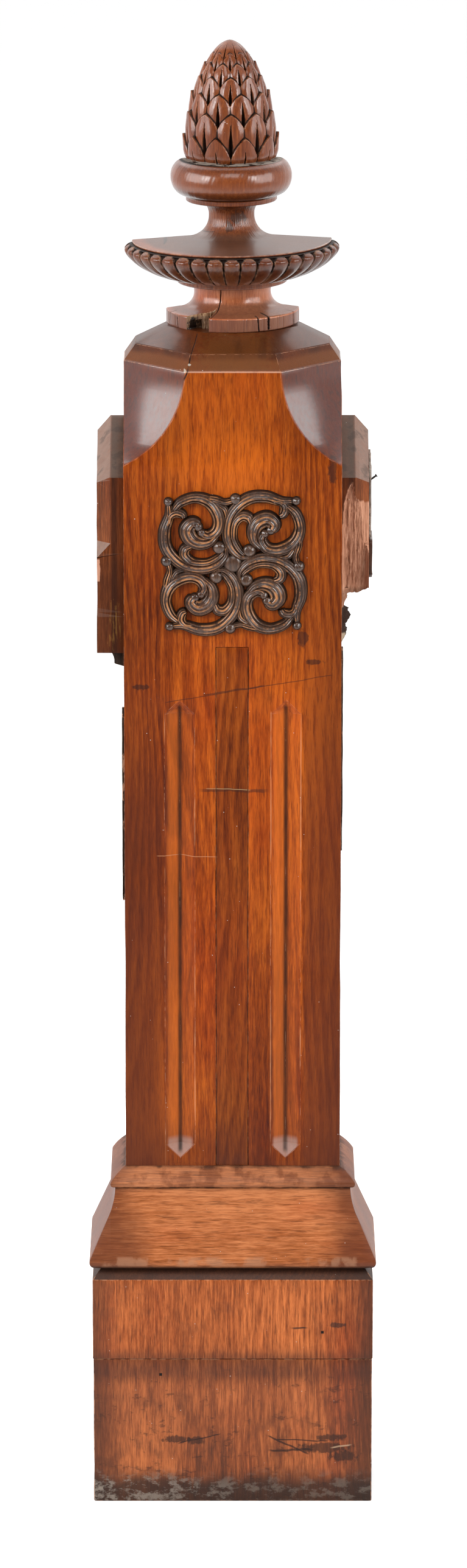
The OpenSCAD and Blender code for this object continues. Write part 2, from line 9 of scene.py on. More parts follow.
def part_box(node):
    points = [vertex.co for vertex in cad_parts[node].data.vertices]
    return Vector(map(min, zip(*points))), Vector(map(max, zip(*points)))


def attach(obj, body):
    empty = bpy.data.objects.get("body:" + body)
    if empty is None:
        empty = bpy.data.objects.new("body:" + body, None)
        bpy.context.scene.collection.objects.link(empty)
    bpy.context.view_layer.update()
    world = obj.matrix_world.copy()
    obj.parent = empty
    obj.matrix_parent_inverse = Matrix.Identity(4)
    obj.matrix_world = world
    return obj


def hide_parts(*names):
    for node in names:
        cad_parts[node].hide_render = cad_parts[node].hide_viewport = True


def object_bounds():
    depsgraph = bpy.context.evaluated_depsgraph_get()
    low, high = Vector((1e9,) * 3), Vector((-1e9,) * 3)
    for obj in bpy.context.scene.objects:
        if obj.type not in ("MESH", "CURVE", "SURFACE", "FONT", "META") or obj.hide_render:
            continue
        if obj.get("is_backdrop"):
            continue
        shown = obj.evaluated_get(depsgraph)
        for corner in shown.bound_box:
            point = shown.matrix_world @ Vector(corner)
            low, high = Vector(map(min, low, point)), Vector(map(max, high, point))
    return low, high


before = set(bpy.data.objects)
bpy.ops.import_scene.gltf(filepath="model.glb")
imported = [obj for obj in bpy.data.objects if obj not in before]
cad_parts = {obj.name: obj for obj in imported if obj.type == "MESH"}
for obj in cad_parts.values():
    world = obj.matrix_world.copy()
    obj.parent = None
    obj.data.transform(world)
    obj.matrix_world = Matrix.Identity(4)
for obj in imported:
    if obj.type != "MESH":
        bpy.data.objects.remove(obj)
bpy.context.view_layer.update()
MM = 0.001


# ---- Camera, lights and floor ----
# The post stands alone on a white sheet, seen from a little above by a long lens. A large soft
# box and a small bright window stand on each side, and a third box hangs high in front. The
# room is white behind the post.
CAMERA_PLACE = (0.0008, -7.6669, 2.7794)
CAMERA_PITCH = 75.5
FOCAL_LENGTH = 167.7
SENSOR_WIDTH = 36

scene = bpy.context.scene
scene.view_settings.view_transform = "Standard"

camera = bpy.data.objects.new("camera", bpy.data.cameras.new("camera"))
camera.location = CAMERA_PLACE
camera.rotation_euler = (math.radians(CAMERA_PITCH), 0, 0)
camera.data.lens = FOCAL_LENGTH
camera.data.sensor_width = SENSOR_WIDTH
scene.collection.objects.link(camera)
scene.camera = camera

POST_MIDDLE = Vector((0, 0, 0.8))


def soft_box(name, azimuth, elevation, distance, width, height, power):
    """A rectangular lamp that faces the middle of the post. Azimuth 0 is the camera's side."""
    turn = math.radians(azimuth)
    tilt = math.radians(elevation)
    level = math.cos(tilt)
    away = Vector((math.sin(turn) * level, -math.cos(turn) * level, math.sin(tilt)))
    lamp = bpy.data.objects.new(name, bpy.data.lights.new(name, "AREA"))
    lamp.data.shape = "RECTANGLE"
    lamp.data.size = width
    lamp.data.size_y = height
    lamp.data.energy = power
    lamp.location = POST_MIDDLE + away * distance
    lamp.rotation_euler = away.to_track_quat("Z", "Y").to_euler()
    scene.collection.objects.link(lamp)


def fade_along_y(tree, place, low, high, dark, bright):
    """A value that climbs from dark to bright as the y of the place goes from low to high."""
    split = tree.nodes.new("ShaderNodeSeparateXYZ")
    fade = tree.nodes.new("ShaderNodeMapRange")
    for key, value in (("From Min", low), ("From Max", high), ("To Min", dark),
                       ("To Max", bright)):
        fade.inputs[key].default_value = value
    tree.links.new(tree.nodes.new("ShaderNodeTexCoord").outputs[place], split.inputs[0])
    tree.links.new(split.outputs["Y"], fade.inputs["Value"])
    return fade.outputs["Result"]


soft_box("left_box", -68, 24, 3.2, 3.0, 1.9, 112)
soft_box("right_box", 66, 24, 3.2, 2.6, 1.9, 84)
soft_box("front_box", 0, 50, 3.6, 1.8, 1.2, 30)
soft_box("left_window", -50, 30, 3.2, 0.6, 1.1, 26)
soft_box("right_window", 48, 30, 3.2, 0.45, 1.1, 19)

# A broad light from behind keeps the sheet white and gives level surfaces their grey sheen
BACK_LIGHT_POWER = 2.1
BACK_LIGHT_SPREAD = 80
BACK_LIGHT_TILT = -32
back_light = bpy.data.objects.new("back_light", bpy.data.lights.new("back_light", "SUN"))
back_light.data.energy = BACK_LIGHT_POWER
back_light.data.angle = math.radians(BACK_LIGHT_SPREAD)
back_light.rotation_euler = (math.radians(BACK_LIGHT_TILT), 0, 0)
scene.collection.objects.link(back_light)

# The room is white behind the post and dim on the camera's side
world = bpy.data.worlds.new("studio")
world.use_nodes = True
room = world.node_tree
background = room.nodes["Background"]
room_light = fade_along_y(room, "Generated", low=-0.3, high=0.7, dark=0.12, bright=1.2)
room.links.new(room_light, background.inputs["Strength"])
background.inputs["Color"].default_value = (1, 1, 1, 1)
scene.world = world

# The sheet is white round the post and greyer where it comes towards the camera
SHEET_REACH = 40
SHEET_ROUGHNESS = 0.9
bm = bmesh.new()
bmesh.ops.create_grid(bm, x_segments=1, y_segments=1, size=SHEET_REACH)
floor_mesh = bpy.data.meshes.new("floor")
bm.to_mesh(floor_mesh)
bm.free()
floor = bpy.data.objects.new("floor", floor_mesh)
scene.collection.objects.link(floor)
paper = bpy.data.materials.new("white_paper")
paper.use_nodes = True
sheet = paper.node_tree
sheet_shader = sheet.nodes["Principled BSDF"]
sheet_white = fade_along_y(sheet, "Object", low=-2.2, high=-0.6, dark=0.40, bright=0.87)
sheet.links.new(sheet_white, sheet_shader.inputs["Base Color"])
sheet_shader.inputs["Roughness"].default_value = SHEET_ROUGHNESS
floor_mesh.materials.append(paper)
floor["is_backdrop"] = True


# ---- Plinth ----
# The base is a block of walnut boards on end, in two tiers, with a bevel round its top. The
# foot has stood on damp floors, so its lowest inch is black and crusted.
class Wire:
    """A socket of a finish, with the sums that add its Math nodes."""

    def __init__(self, finish, socket):
        self.finish = finish
        self.socket = socket

    def sum(self, operation, *terms):
        return self.finish.node("ShaderNodeMath", {"operation": operation}, dict(enumerate(terms)))

    def __add__(self, other):
        return self.sum("ADD", self, other)

    __radd__ = __add__

    def __mul__(self, other):
        return self.sum("MULTIPLY", self, other)

    __rmul__ = __mul__

    def __sub__(self, other):
        return self.sum("SUBTRACT", self, other)

    def __rsub__(self, other):
        return self.sum("SUBTRACT", other, self)

    def __truediv__(self, other):
        return self.sum("DIVIDE", self, other)

    def __pow__(self, other):
        return self.sum("POWER", self, other)

    def __abs__(self):
        return self.sum("ABSOLUTE", self)

    def least(self, other):
        return self.sum("MINIMUM", self, other)

    def most(self, other):
        return self.sum("MAXIMUM", self, other)

    def rise(self, low, high):
        """0 below low, 1 above high, and a smooth step between them. It falls instead where
        low is above high."""
        settings = {"interpolation_type": "SMOOTHSTEP"}
        return self.finish.node("ShaderNodeMapRange", settings, {0: self, 1: low, 2: high})


# How strongly a bare surface mirrors the lamps, how much old varnish blurs them, and the share
# of a wood's or stain's colour that goes into the shader
BARE_SHEEN = 0.11
VARNISH_HAZE = 0.24
TONE = 0.66


class Finish:
    """A material under construction: its place on the post, its colour, gloss and height."""

    def __init__(self, name):
        self.material = bpy.data.materials.new(name)
        self.material.use_nodes = True
        self.tree = self.material.node_tree
        self.shader = self.tree.nodes["Principled BSDF"]
        self.shader.inputs["Specular IOR Level"].default_value = BARE_SHEEN
        self.shader.inputs["Coat Roughness"].default_value = VARNISH_HAZE
        self.place = self.node("ShaderNodeTexCoord", {}, {}, "Object")
        self.x = self.axis("X")
        self.y = self.axis("Y")
        self.z = self.axis("Z")
        self.height = None
        self.varnish = None
        normal = self.node("ShaderNodeNewGeometry", {}, {}, "True Normal")
        self.upward = self.node("ShaderNodeSeparateXYZ", {}, {0: normal}, "Z")

    def node(self, kind, settings, inputs, out=0):
        """Adds a node with its settings, then the values or wires of its sockets."""
        made = self.tree.nodes.new(kind)
        for key, value in settings.items():
            if key == "stops":
                ramp = made.color_ramp
                while len(ramp.elements) < len(value):
                    ramp.elements.new(1)
                for element, (at, colour) in zip(ramp.elements, value):
                    element.position = at
                    element.color = (*colour, 1)
            else:
                setattr(made, key, value)
        for key, value in inputs.items():
            if isinstance(value, Wire):
                self.tree.links.new(value.socket, made.inputs[key])
            else:
                made.inputs[key].default_value = value
        return Wire(self, made.outputs[out])

    def axis(self, letter):
        return self.node("ShaderNodeSeparateXYZ", {}, {0: self.place}, letter)

    def attribute(self, name):
        return self.node("ShaderNodeAttribute", {"attribute_name": name}, {}, "Fac")

    def scaled(self, scale, shift=(0, 0, 0)):
        """The place on the post, stretched by scale along each axis and then shifted."""
        inputs = {"Vector": self.place, "Scale": scale, "Location": shift}
        return self.node("ShaderNodeMapping", {}, inputs)

    def cloud(self, place, detail=3.0, roughness=0.55):
        """Soft noise between 0 and 1, mostly near a half, one wave to each unit of place."""
        inputs = {"Vector": place, "Scale": 1.0, "Detail": detail, "Roughness": roughness}
        return self.node("ShaderNodeTexNoise", {}, inputs, "Fac")

    def ramp(self, value, stops):
        return self.node("ShaderNodeValToRGB", {"stops": stops}, {0: value}, "Color")

    def blend(self, mask, under, over, way="MIX"):
        """The Mix node with its colour sockets: 6 and 7 go in, and 2 comes out."""
        settings = {"data_type": "RGBA", "blend_type": way}
        under, over = ((c if isinstance(c, Wire) else (*c, 1)) for c in (under, over))
        return self.node("ShaderNodeMix", settings, {0: mask, 6: under, 7: over}, 2)

    def stain(self, mask, colour, gloss=None, sink=None):
        """Lays a colour, a roughness and a hollow over the finish where mask is 1."""
        if not isinstance(colour, Wire):
            colour = tuple(channel * TONE for channel in colour)
        self.colour = self.blend(mask, self.colour, colour)
        if gloss is not None:
            self.rough = self.rough + mask * (gloss - self.rough)
        if sink is not None:
            self.height = self.height - mask * sink

    def shade(self, mask, factor):
        """Darkens the colour to factor times itself where mask is 1."""
        self.colour = self.blend(mask, self.colour, (factor, factor, factor), "MULTIPLY")

    def near(self, value, centre, half, soft):
        """1 where value lies within half of centre, fading over soft."""
        return 1 - abs(value - centre).rise(half, half + soft)

    def spot(self, x, z, wide, high, ragged):
        """A soft-edged patch round x, z on the front. Ragged is how far a cloud breaks up its
        edge, and wide and high are half its size."""
        dx = (self.x - x) / wide
        dz = (self.z - z) / high
        edge = self.cloud(self.scaled((230, 230, 160)), 4.0)
        return 1 - ((dx * dx + dz * dz) ** 0.5 + (edge - 0.5) * 4 * ragged).rise(0.7, 1.15)

    def scratch(self, start, end, width):
        """A thin line on the front from start to end, both (x, z). It wanders a little."""
        run = Vector(end) - Vector(start)
        length = run.length
        run = run / length
        dx = self.x - start[0]
        dz = self.z - start[1]
        wander = (self.cloud(self.scaled((40, 40, 40)), 2.0) - 0.5) * width * 3
        off = dx * -run.y + dz * run.x + wander
        along = dx * run.x + dz * run.y
        ends = along.rise(0, width * 4) * (1 - along.rise(length - width * 4, length))
        return (1 - abs(off).rise(width * 0.35, width * 0.8)) * ends

    def close(self, bump):
        """Wires the finished colour, gloss, varnish and height to the shader."""
        wires = self.tree.links.new
        wires(self.colour.socket, self.shader.inputs["Base Color"])
        wires(self.rough.socket, self.shader.inputs["Roughness"])
        if self.varnish is not None:
            wires(self.varnish.socket, self.shader.inputs["Coat Weight"])
        raised = self.node("ShaderNodeBump", {}, {"Strength": bump, "Distance": 1.0,
                                                  "Height": self.height})
        wires(raised.socket, self.shader.inputs["Normal"])
        return self.material


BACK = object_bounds()[1][1]
# The depths between which the finish gives way to the raw back
SAWN_FROM = BACK - 0.8 * MM
SAWN_FULL = BACK - 0.4 * MM
SAWN_TAN = (0.19, 0.105, 0.060)
SAWN_DARK = (0.075, 0.036, 0.020)
RUBBED_WOOD = (0.60, 0.28, 0.15)
DUST = (0.62, 0.52, 0.44)
DIRT = (0.012, 0.007, 0.005)
REDDER = (0.85, 0.50, 0.40)


def walnut(name, tones, grain="Z", seed=0.0, shine=0.34, figure=0.55, sawn=True, varnish=0.1,
           arch=0.0, rings_per_m=150):
    """Old varnished walnut. Tones run from the dark streaks to the light wood between them,
    figure is how strongly the growth rings show, and arch how fast they close into arches
    along the grain."""
    wood = Finish(name)
    tones = [tuple(channel * TONE for channel in tone) for tone in tones]
    along = 2 if grain == "Z" else 0

    def stretched(across, length, shift=0.0):
        scale = [across, across, across]
        scale[along] = length
        return wood.scaled(scale, (seed * 3.7 + shift, seed * 1.9 - shift, seed * 5.3))

    # Growth rings round a heart that wanders a little along the board, behind its face
    drift = wood.cloud(stretched(7, 1.6), 2.0)
    side = wood.x if grain == "Z" else wood.z
    length = wood.z if grain == "Z" else wood.x
    heart = (side + drift * 0.16 + length * 0.045 * math.sin(seed * 7 + 1)
             + 0.02 * math.sin(seed * 5))
    depth = (wood.y * 0.8 + (wood.cloud(stretched(12, 2.2, 4.0), 2.0) - 0.5) * 0.05 - 0.06
             + length * arch)
    rings = (heart * heart + depth * depth) ** 0.5 * rings_per_m
    ring = wood.node("ShaderNodeMath", {"operation": "FRACT"}, {0: rings})
    band = (1 - ring.rise(0.0, 0.75) * (1 - ring.rise(0.78, 1.0))) * drift.rise(0.3, 0.62)

    # Streaks, flecks, fibres and pores, all drawn out along the grain, and broad blotches
    streak = wood.cloud(stretched(105, 6, 2.0), 4.0, 0.6)
    fibre = wood.cloud(stretched(900, 38, 7.0), 3.0, 0.7)
    pores = wood.cloud(stretched(1500, 60, 1.0), 2.0, 0.5).rise(0.56, 0.7)
    blotch = wood.cloud(stretched(9, 3.2, 9.0), 3.0, 0.5)
    fleck = wood.cloud(stretched(400, 48, 5.0), 4.0, 0.65)
    tone = (0.5 + (streak - 0.5) * 0.30 + (fibre - 0.5) * 0.55 + (fleck - 0.5) * 0.65
            + (blotch - 0.5) * 0.85 + (0.55 - band) * 0.22 * figure)
    wood.colour = wood.ramp(tone, [(0.22, tones[0]), (0.5, tones[1]), (0.78, tones[2])])
    redness = wood.cloud(stretched(16, 4, 6.0), 3.0).rise(0.45, 0.68)
    wood.colour = wood.blend(redness * 0.5, wood.colour, REDDER, "MULTIPLY")
    dashes = wood.cloud(stretched(520, 34, 3.0), 3.0, 0.6).rise(0.57, 0.66)
    wood.colour = wood.blend(dashes * 0.45, wood.colour, tones[0])
    wood.colour = wood.blend(pores * 0.5, wood.colour, tones[0])

    wood.rough = shine + fibre * 0.10 + blotch * 0.12 - 0.06
    wood.height = (fibre * 0.00006 - pores * 0.00012 + streak * 0.0001
                   + wood.cloud(wood.scaled((22, 22, 22)), 2.0) * 0.0006)
    wood.sawn = sawn
    wood.varnish = varnish * (1.3 - blotch * 0.6)
    return wood


def finish_wood(wood, wear=0.5, bump=0.6):
    """Adds what every old piece has: pale worn arrises, dust specks and the raw sawn back."""
    wood.varnish = wood.varnish * wood.y.rise(SAWN_FULL, SAWN_FROM)
    uneven = wood.cloud(wood.scaled((160, 160, 160)), 3.0).rise(0.42, 0.6)
    wood.stain(wood.attribute("wear") * uneven * wear, RUBBED_WOOD, 0.6)
    specks = wood.node("ShaderNodeTexVoronoi", {}, {"Vector": wood.place, "Scale": 140}, "Distance")
    few = wood.cloud(wood.scaled((60, 60, 60), (3, 1, 2)), 1.0).rise(0.60, 0.66)
    wood.stain((1 - specks.rise(0.05, 0.09)) * few * 0.8, DUST, 0.8)
    if wood.sawn:
        back = wood.y.rise(SAWN_FROM, SAWN_FULL)
        saw = wood.cloud(wood.scaled((3, 3, 420), (5, 0, 2)), 2.0)
        long_grain = wood.cloud(wood.scaled((260, 260, 9), (1, 4, 0)), 4.0, 0.65)
        patches = wood.cloud(wood.scaled((9, 9, 4), (2, 0, 6)), 3.0)
        raw = wood.ramp(long_grain * 0.75 + saw * 0.16 + patches * 0.35,
                        [(0.42, SAWN_DARK), (0.82, SAWN_TAN)])
        wood.stain(back, raw, 0.85)
        wood.height = wood.height + back * (saw * 0.0005 + long_grain * 0.0003)
    return wood.close(bump)


def cut_across(bm, axis, step):
    """Cuts a mesh square across one axis at even steps, so that its long edges can be dented."""
    low = min(v.co[axis] for v in bm.verts)
    high = max(v.co[axis] for v in bm.verts)
    square = Vector((0, 0, 0))
    square[axis] = 1
    for k in range(1, math.ceil((high - low) / step)):
        whole = bm.verts[:] + bm.edges[:] + bm.faces[:]
        bmesh.ops.bisect_plane(bm, geom=whole, dist=1e-6, plane_co=square * (low + k * step),
                               plane_no=square)


# An edge is an arris where its faces turn by more than this many degrees, and is rounded in
# this many steps. Points within FLAT_SKIN of the back or the foot keep to them.
ARRIS_ANGLE = 28
ROUNDING_STEPS = 2
FLAT_SKIN = 0.05 * MM


def is_sharp(edge, degrees):
    return len(edge.link_faces) == 2 and edge.calc_face_angle(0) > math.radians(degrees)


def dent(bm, depth, spacing, seed=0.0):
    """Knocks the arrises of a mesh in, mostly a little and here and there a chip. The sawn
    back and the foot stay flat."""
    arrises = {v for e in bm.edges if is_sharp(e, ARRIS_ANGLE) for v in e.verts}
    bm.normal_update()
    moves = {}
    for v in arrises:
        bite = noise.noise(v.co / spacing + Vector((seed, seed, seed)))
        chip = max(0.0, noise.noise(v.co / (spacing * 3) - Vector((seed, 0, seed))) - 0.25)
        move = -v.normal * depth * (0.35 + 0.5 * bite + 4 * chip)
        if v.co.y > BACK - FLAT_SKIN:
            move.y = 0
        if v.co.z < FLAT_SKIN:
            move.z = 0
        moves[v] = move
    for v, move in moves.items():
        v.co += move


def round_edges(bm, radius):
    """Rounds the arrises and marks the outward ones, so that the finish wears through there."""
    arrises = [e for e in bm.edges if is_sharp(e, ARRIS_ANGLE)]
    made = bmesh.ops.bevel(bm, geom=arrises, offset=radius, offset_type="OFFSET",
                           segments=ROUNDING_STEPS, profile=0.5, affect="EDGES",
                           clamp_overlap=True, material=-1)
    rounding = set(made["faces"])
    layer = bm.verts.layers.float.new("wear")
    bm.normal_update()
    for v in bm.verts:
        bulge = sum((e.other_vert(v).co - v.co).dot(v.normal) for e in v.link_edges)
        v[layer] = 1.0 if bulge < 0 and all(f in rounding for f in v.link_faces) else 0.0


def make_piece(bm, name, finish, nodes, smooth=25):
    """Turns a mesh into a piece that rides on the post and stands for its CAD nodes. Edges
    sharper than smooth, in degrees, stay crisp."""
    for f in bm.faces:
        f.smooth = True
    for e in bm.edges:
        e.smooth = not is_sharp(e, smooth)
    mesh = bpy.data.meshes.new(name)
    bm.to_mesh(mesh)
    bm.free()
    mesh.materials.append(finish)
    piece = bpy.data.objects.new(name, mesh)
    scene.collection.objects.link(piece)
    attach(piece, "root")
    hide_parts(*nodes)


# Points of the CAD nearer than SAME_POINT are made one, and faces that turn by fewer degrees
# than FLAT_ANGLE are made one flat face
SAME_POINT = 0.02 * MM
FLAT_ANGLE = 0.8


def solid_copy(node):
    """A mesh of the CAD node with its triangles joined up into whole flat faces."""
    bm = bmesh.new()
    bm.from_mesh(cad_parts[node].data)
    bmesh.ops.remove_doubles(bm, verts=bm.verts, dist=SAME_POINT)
    bmesh.ops.dissolve_limit(bm, angle_limit=math.radians(FLAT_ANGLE), verts=bm.verts,
                             edges=bm.edges, delimit=set())
    return bm


DENT_SPACING = 25 * MM


def worn(node, name, finish, axis=2, step=14 * MM, depth=0.5 * MM, radius=1.1 * MM,
         seed=0.0):
    """A piece with the CAD node's shape, its arrises knocked about and rounded by use. It is
    cut across the axis at every step, and the dents are scaled by depth. Radius is how far
    the rounding reaches from an arris."""
    bm = solid_copy(node)
    cut_across(bm, axis, step)
    dent(bm, depth, DENT_SPACING, seed)
    round_edges(bm, radius)
    make_piece(bm, name, finish, [node])


PLINTH_TONES = [(0.060, 0.012, 0.003), (0.34, 0.076, 0.015), (0.74, 0.205, 0.052)]
PLINTH_STAIN = (0.10, 0.032, 0.016)
BEVEL_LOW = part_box("plinth_upper")[1].z - 12.5 * MM
TIER_TOP = 0.166
# Dark patches on the front: x, z, half the width and half the height
PLINTH_PATCHES = ((-0.040, 0.070, 0.010, 0.005), (-0.062, 0.072, 0.016, 0.004),
                  (0.100, 0.062, 0.030, 0.006), (0.122, 0.052, 0.016, 0.007),
                  (0.108, 0.074, 0.018, 0.004), (0.115, 0.204, 0.010, 0.003))
# Dark gouges: where each starts and ends, as (x, z), and its width
PLINTH_GOUGES = (((0.036, 0.077), (0.086, 0.054), 1.6 * MM),
                 ((0.036, 0.059), (0.092, 0.061), 2.2 * MM),
                 ((0.046, 0.072), (0.106, 0.070), 1.2 * MM),
                 ((-0.062, 0.067), (-0.012, 0.078), 1.2 * MM),
                 ((0.062, 0.201), (0.084, 0.201), 1.6 * MM))
NAIL_HOLES = ((0.098, 0.196), (-0.079, 0.147))
NAIL_HOLE_R = 1.3 * MM


def plinth_wood(name, seed):
    """Walnut that is smoked and bruised below, dark at its margins and crusted at its foot."""
    wood = walnut(name, PLINTH_TONES, seed=seed, shine=0.42, figure=0.5)
    smoke = wood.cloud(wood.scaled((14, 14, 6), (2, 2, 7)), 3.0)
    below = 1 - wood.z.rise(0.125, TIER_TOP)
    wood.stain(below * 0.10 + below * smoke * 0.20, (0.085, 0.038, 0.028), 0.5)
    wood.stain(below * 0.05, (0.62, 0.28, 0.16))
    murk = wood.cloud(wood.scaled((26, 26, 19), (8, 3, 4)), 5.0, 0.62).rise(0.50, 0.68)
    wood.stain(murk * (0.28 + below * 0.34), PLINTH_STAIN, 0.5)
    bruise = wood.cloud(wood.scaled((60, 60, 110), (3, 9, 1)), 5.0, 0.65).rise(0.58, 0.68)
    wood.stain(bruise * (0.12 + below * 0.45), (0.045, 0.018, 0.012), 0.5)
    margin = (abs(wood.x) + (smoke - 0.5) * 0.016).rise(0.112, 0.158)
    wood.stain(margin * 0.78, (0.07, 0.024, 0.012), 0.5)
    shadow = wood.near(wood.z, 0.156, 0.006, 0.02) * (smoke * 0.9 + 0.3)
    wood.stain(shadow * 0.75, (0.05, 0.02, 0.014), 0.5)
    grime = 1 - (wood.z + (smoke - 0.5) * 0.030 + (murk - 0.5) * 0.008).rise(0.014, 0.036)
    wood.stain(grime * 0.88, (0.035, 0.022, 0.017), 0.75)
    crust = grime * wood.cloud(wood.scaled((55, 55, 90), (1, 1, 1)), 7.0, 0.7).rise(0.48, 0.60)
    crust = crust * (1 - wood.x.rise(-0.14, 0.05) * 0.65)
    wood.stain(crust * 0.8, (0.33, 0.27, 0.22), 0.9)
    # The top bevel, under the skirt's lip: darker, with dirt and painted shade
    bevel = wood.z.rise(BEVEL_LOW - 0.5 * MM, BEVEL_LOW + 0.8 * MM)
    wood.stain(bevel * 0.88, (0.045, 0.026, 0.020), 0.5)
    for x, z, wide, high in PLINTH_PATCHES:
        wood.stain(wood.spot(x, z, wide, high, 0.5) * 0.75, (0.035, 0.016, 0.011), 0.5)
    for start, end, width in PLINTH_GOUGES:
        wood.stain(wood.scratch(start, end, width) * 0.8, (0.03, 0.014, 0.010), 0.5, 0.2 * MM)
    pale_gouge = wood.scratch((0.106, 0.062), (0.132, 0.066), 1.4 * MM)
    wood.stain(pale_gouge * 0.7, (0.55, 0.36, 0.22), 0.6)
    for x, z in NAIL_HOLES:
        hole = wood.near(wood.x, x, NAIL_HOLE_R, 0.5 * MM)
        hole = hole * wood.near(wood.z, z, NAIL_HOLE_R, 0.5 * MM)
        wood.stain(hole, DIRT, 0.9, 2 * MM)
    return finish_wood(wood, 0.6)


worn("plinth_lower", "base_lower_tier", plinth_wood("base_lower_wood", 0.0),
     radius=1.3 * MM, depth=0.8 * MM, seed=1)
worn("plinth_upper", "base_upper_tier", plinth_wood("base_upper_wood", 0.0),
     radius=1.0 * MM, depth=0.5 * MM, seed=2)


# ---- Skirt and collar mouldings ----
# Three lengths of each moulding run round the shaft and meet at mitres. They are walnut,
# drier and paler than the rest, with the grain of the front lengths lying along them and dark
# dirt in their hollows, with painted shade added under the nose.
MOULDING_TONES = [(0.080, 0.018, 0.004), (0.39, 0.110, 0.029), (0.70, 0.245, 0.090)]
SKIRT_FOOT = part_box("skirt_front")[0].z
SKIRT_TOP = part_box("skirt_front")[1].z
COLLAR_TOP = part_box("collar_front")[1].z


def moulding_wood(name, grain, seed):
    """Dry walnut: dark towards its ends, under its nose with dirt and painted shade, and along
    the joint above the skirt.
    """
    wood = walnut(name, MOULDING_TONES, grain=grain, seed=seed, shine=0.46, figure=0.4)
    cloud = wood.cloud(wood.scaled((60, 60, 40), (4, 1, 0)), 4.0)
    collar = wood.z.rise(SKIRT_TOP, SKIRT_TOP + 1 * MM)
    wood.stain(collar * (1 - cloud) * 0.35, (0.62, 0.31, 0.18))
    wood.stain(collar * cloud.rise(0.45, 0.6) * 0.55, (0.16, 0.045, 0.018), 0.5)
    murk = wood.cloud(wood.scaled((13, 13, 15), (2, 6, 3)), 4.0)
    ends = (abs(wood.x) + (murk - 0.5) * 0.12).rise(0.075, 0.14)
    wood.stain(ends * 0.75, (0.13, 0.034, 0.013), 0.45)
    wood.stain(murk.rise(0.52, 0.68) * 0.30, (0.15, 0.042, 0.016), 0.45)
    # Dirt and painted shade under the nose
    ragged_z = wood.z + (cloud - 0.5) * 4 * MM
    dirt_and_shade_under_nose = 1 - ragged_z.rise(SKIRT_FOOT + 1 * MM, SKIRT_FOOT + 6 * MM)
    wood.stain(dirt_and_shade_under_nose * 0.85, DIRT, 0.7)
    joint = wood.near(wood.z, SKIRT_TOP, 0.4 * MM, 2.2 * MM) * cloud.rise(0.3, 0.6)
    wood.stain(joint * 0.9, DIRT, 0.8)
    top = (wood.z + (cloud - 0.5) * 10 * MM).rise(COLLAR_TOP - 4 * MM, COLLAR_TOP)
    wood.stain(top * 0.7, (0.03, 0.014, 0.009), 0.7)
    rubbed = wood.near(wood.z, SKIRT_FOOT + 9 * MM, 3 * MM, 4 * MM) * cloud.rise(0.45, 0.6)
    wood.stain(rubbed * 0.5, (0.46, 0.23, 0.13), 0.6)
    return finish_wood(wood, 0.6)


for part, first in (("skirt", 3.0), ("collar", 6.0)):
    for k, side in enumerate(("front", "left", "right")):
        grain = "X" if side == "front" else "Z"
        worn(f"{part}_{side}", f"{part}_moulding_{side}",
             moulding_wood(f"{part}_{side}_wood", grain, first + k),
             axis=0 if side == "front" else 1, step=12 * MM, depth=0.4 * MM, radius=0.8 * MM,
             seed=first + k)


# ---- Shaft and the strip let into it ----
# A square walnut shaft under an eight-sided weathered cap, with a hollow scooped from each
# front corner, two V-grooves, and a strip glued into a housing down the middle of the front.
SHAFT_TONES = [(0.090, 0.010, 0.001), (0.33, 0.054, 0.003), (0.62, 0.130, 0.009)]
SHAFT_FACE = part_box("centre_strip")[0].y
SHAFT_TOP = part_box("shaft")[1].z - 33.9 * MM
STRIP_TONES = [(0.085, 0.012, 0.001), (0.24, 0.044, 0.003), (0.40, 0.090, 0.008)]
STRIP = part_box("centre_strip")
CLEAR_GLOSS = 0.17
# The grooves: how far each lies from the middle, half its width, and half the width of a slope
GROOVE_X = 57.3 * MM
GROOVE_HALF = 16.1 * MM
SLOPE_HALF = 14.3 * MM
GROOVE_TOP = 0.885
SCOOP_LOW = SHAFT_TOP - 102 * MM
# Cracks and scratches: where each starts and ends, as (x, z), and its width
CAP_CRACKS = (((-0.0535, 1.247), (-0.0465, 1.264), 1.5 * MM),
              ((-0.0470, 1.262), (-0.0450, 1.275), 1.1 * MM),
              ((-0.0455, 1.273), (-0.0370, 1.292), 0.7 * MM))
DARK_SCRATCHES = (((-0.074, 0.8965), (0.108, 0.928), 0.9 * MM),
                  ((-0.034, 0.905), (0.036, 0.916), 1.4 * MM),
                  ((-0.040, 0.801), (0.042, 0.799), 3.0 * MM))
# Filler in the cap and dark marks below it: x, z, half the width and half the height
CAP_FILLER = ((-0.0508, 1.2595, 0.0014, 0.0020), (-0.0462, 1.2655, 0.0018, 0.0011))
DARK_MARKS = ((0.087, 0.942, 0.010, 0.003), (-0.099, 0.914, 0.010, 0.003),
              (0.107, 1.152, 0.005, 0.014), (0.075, 0.968, 0.006, 0.009))


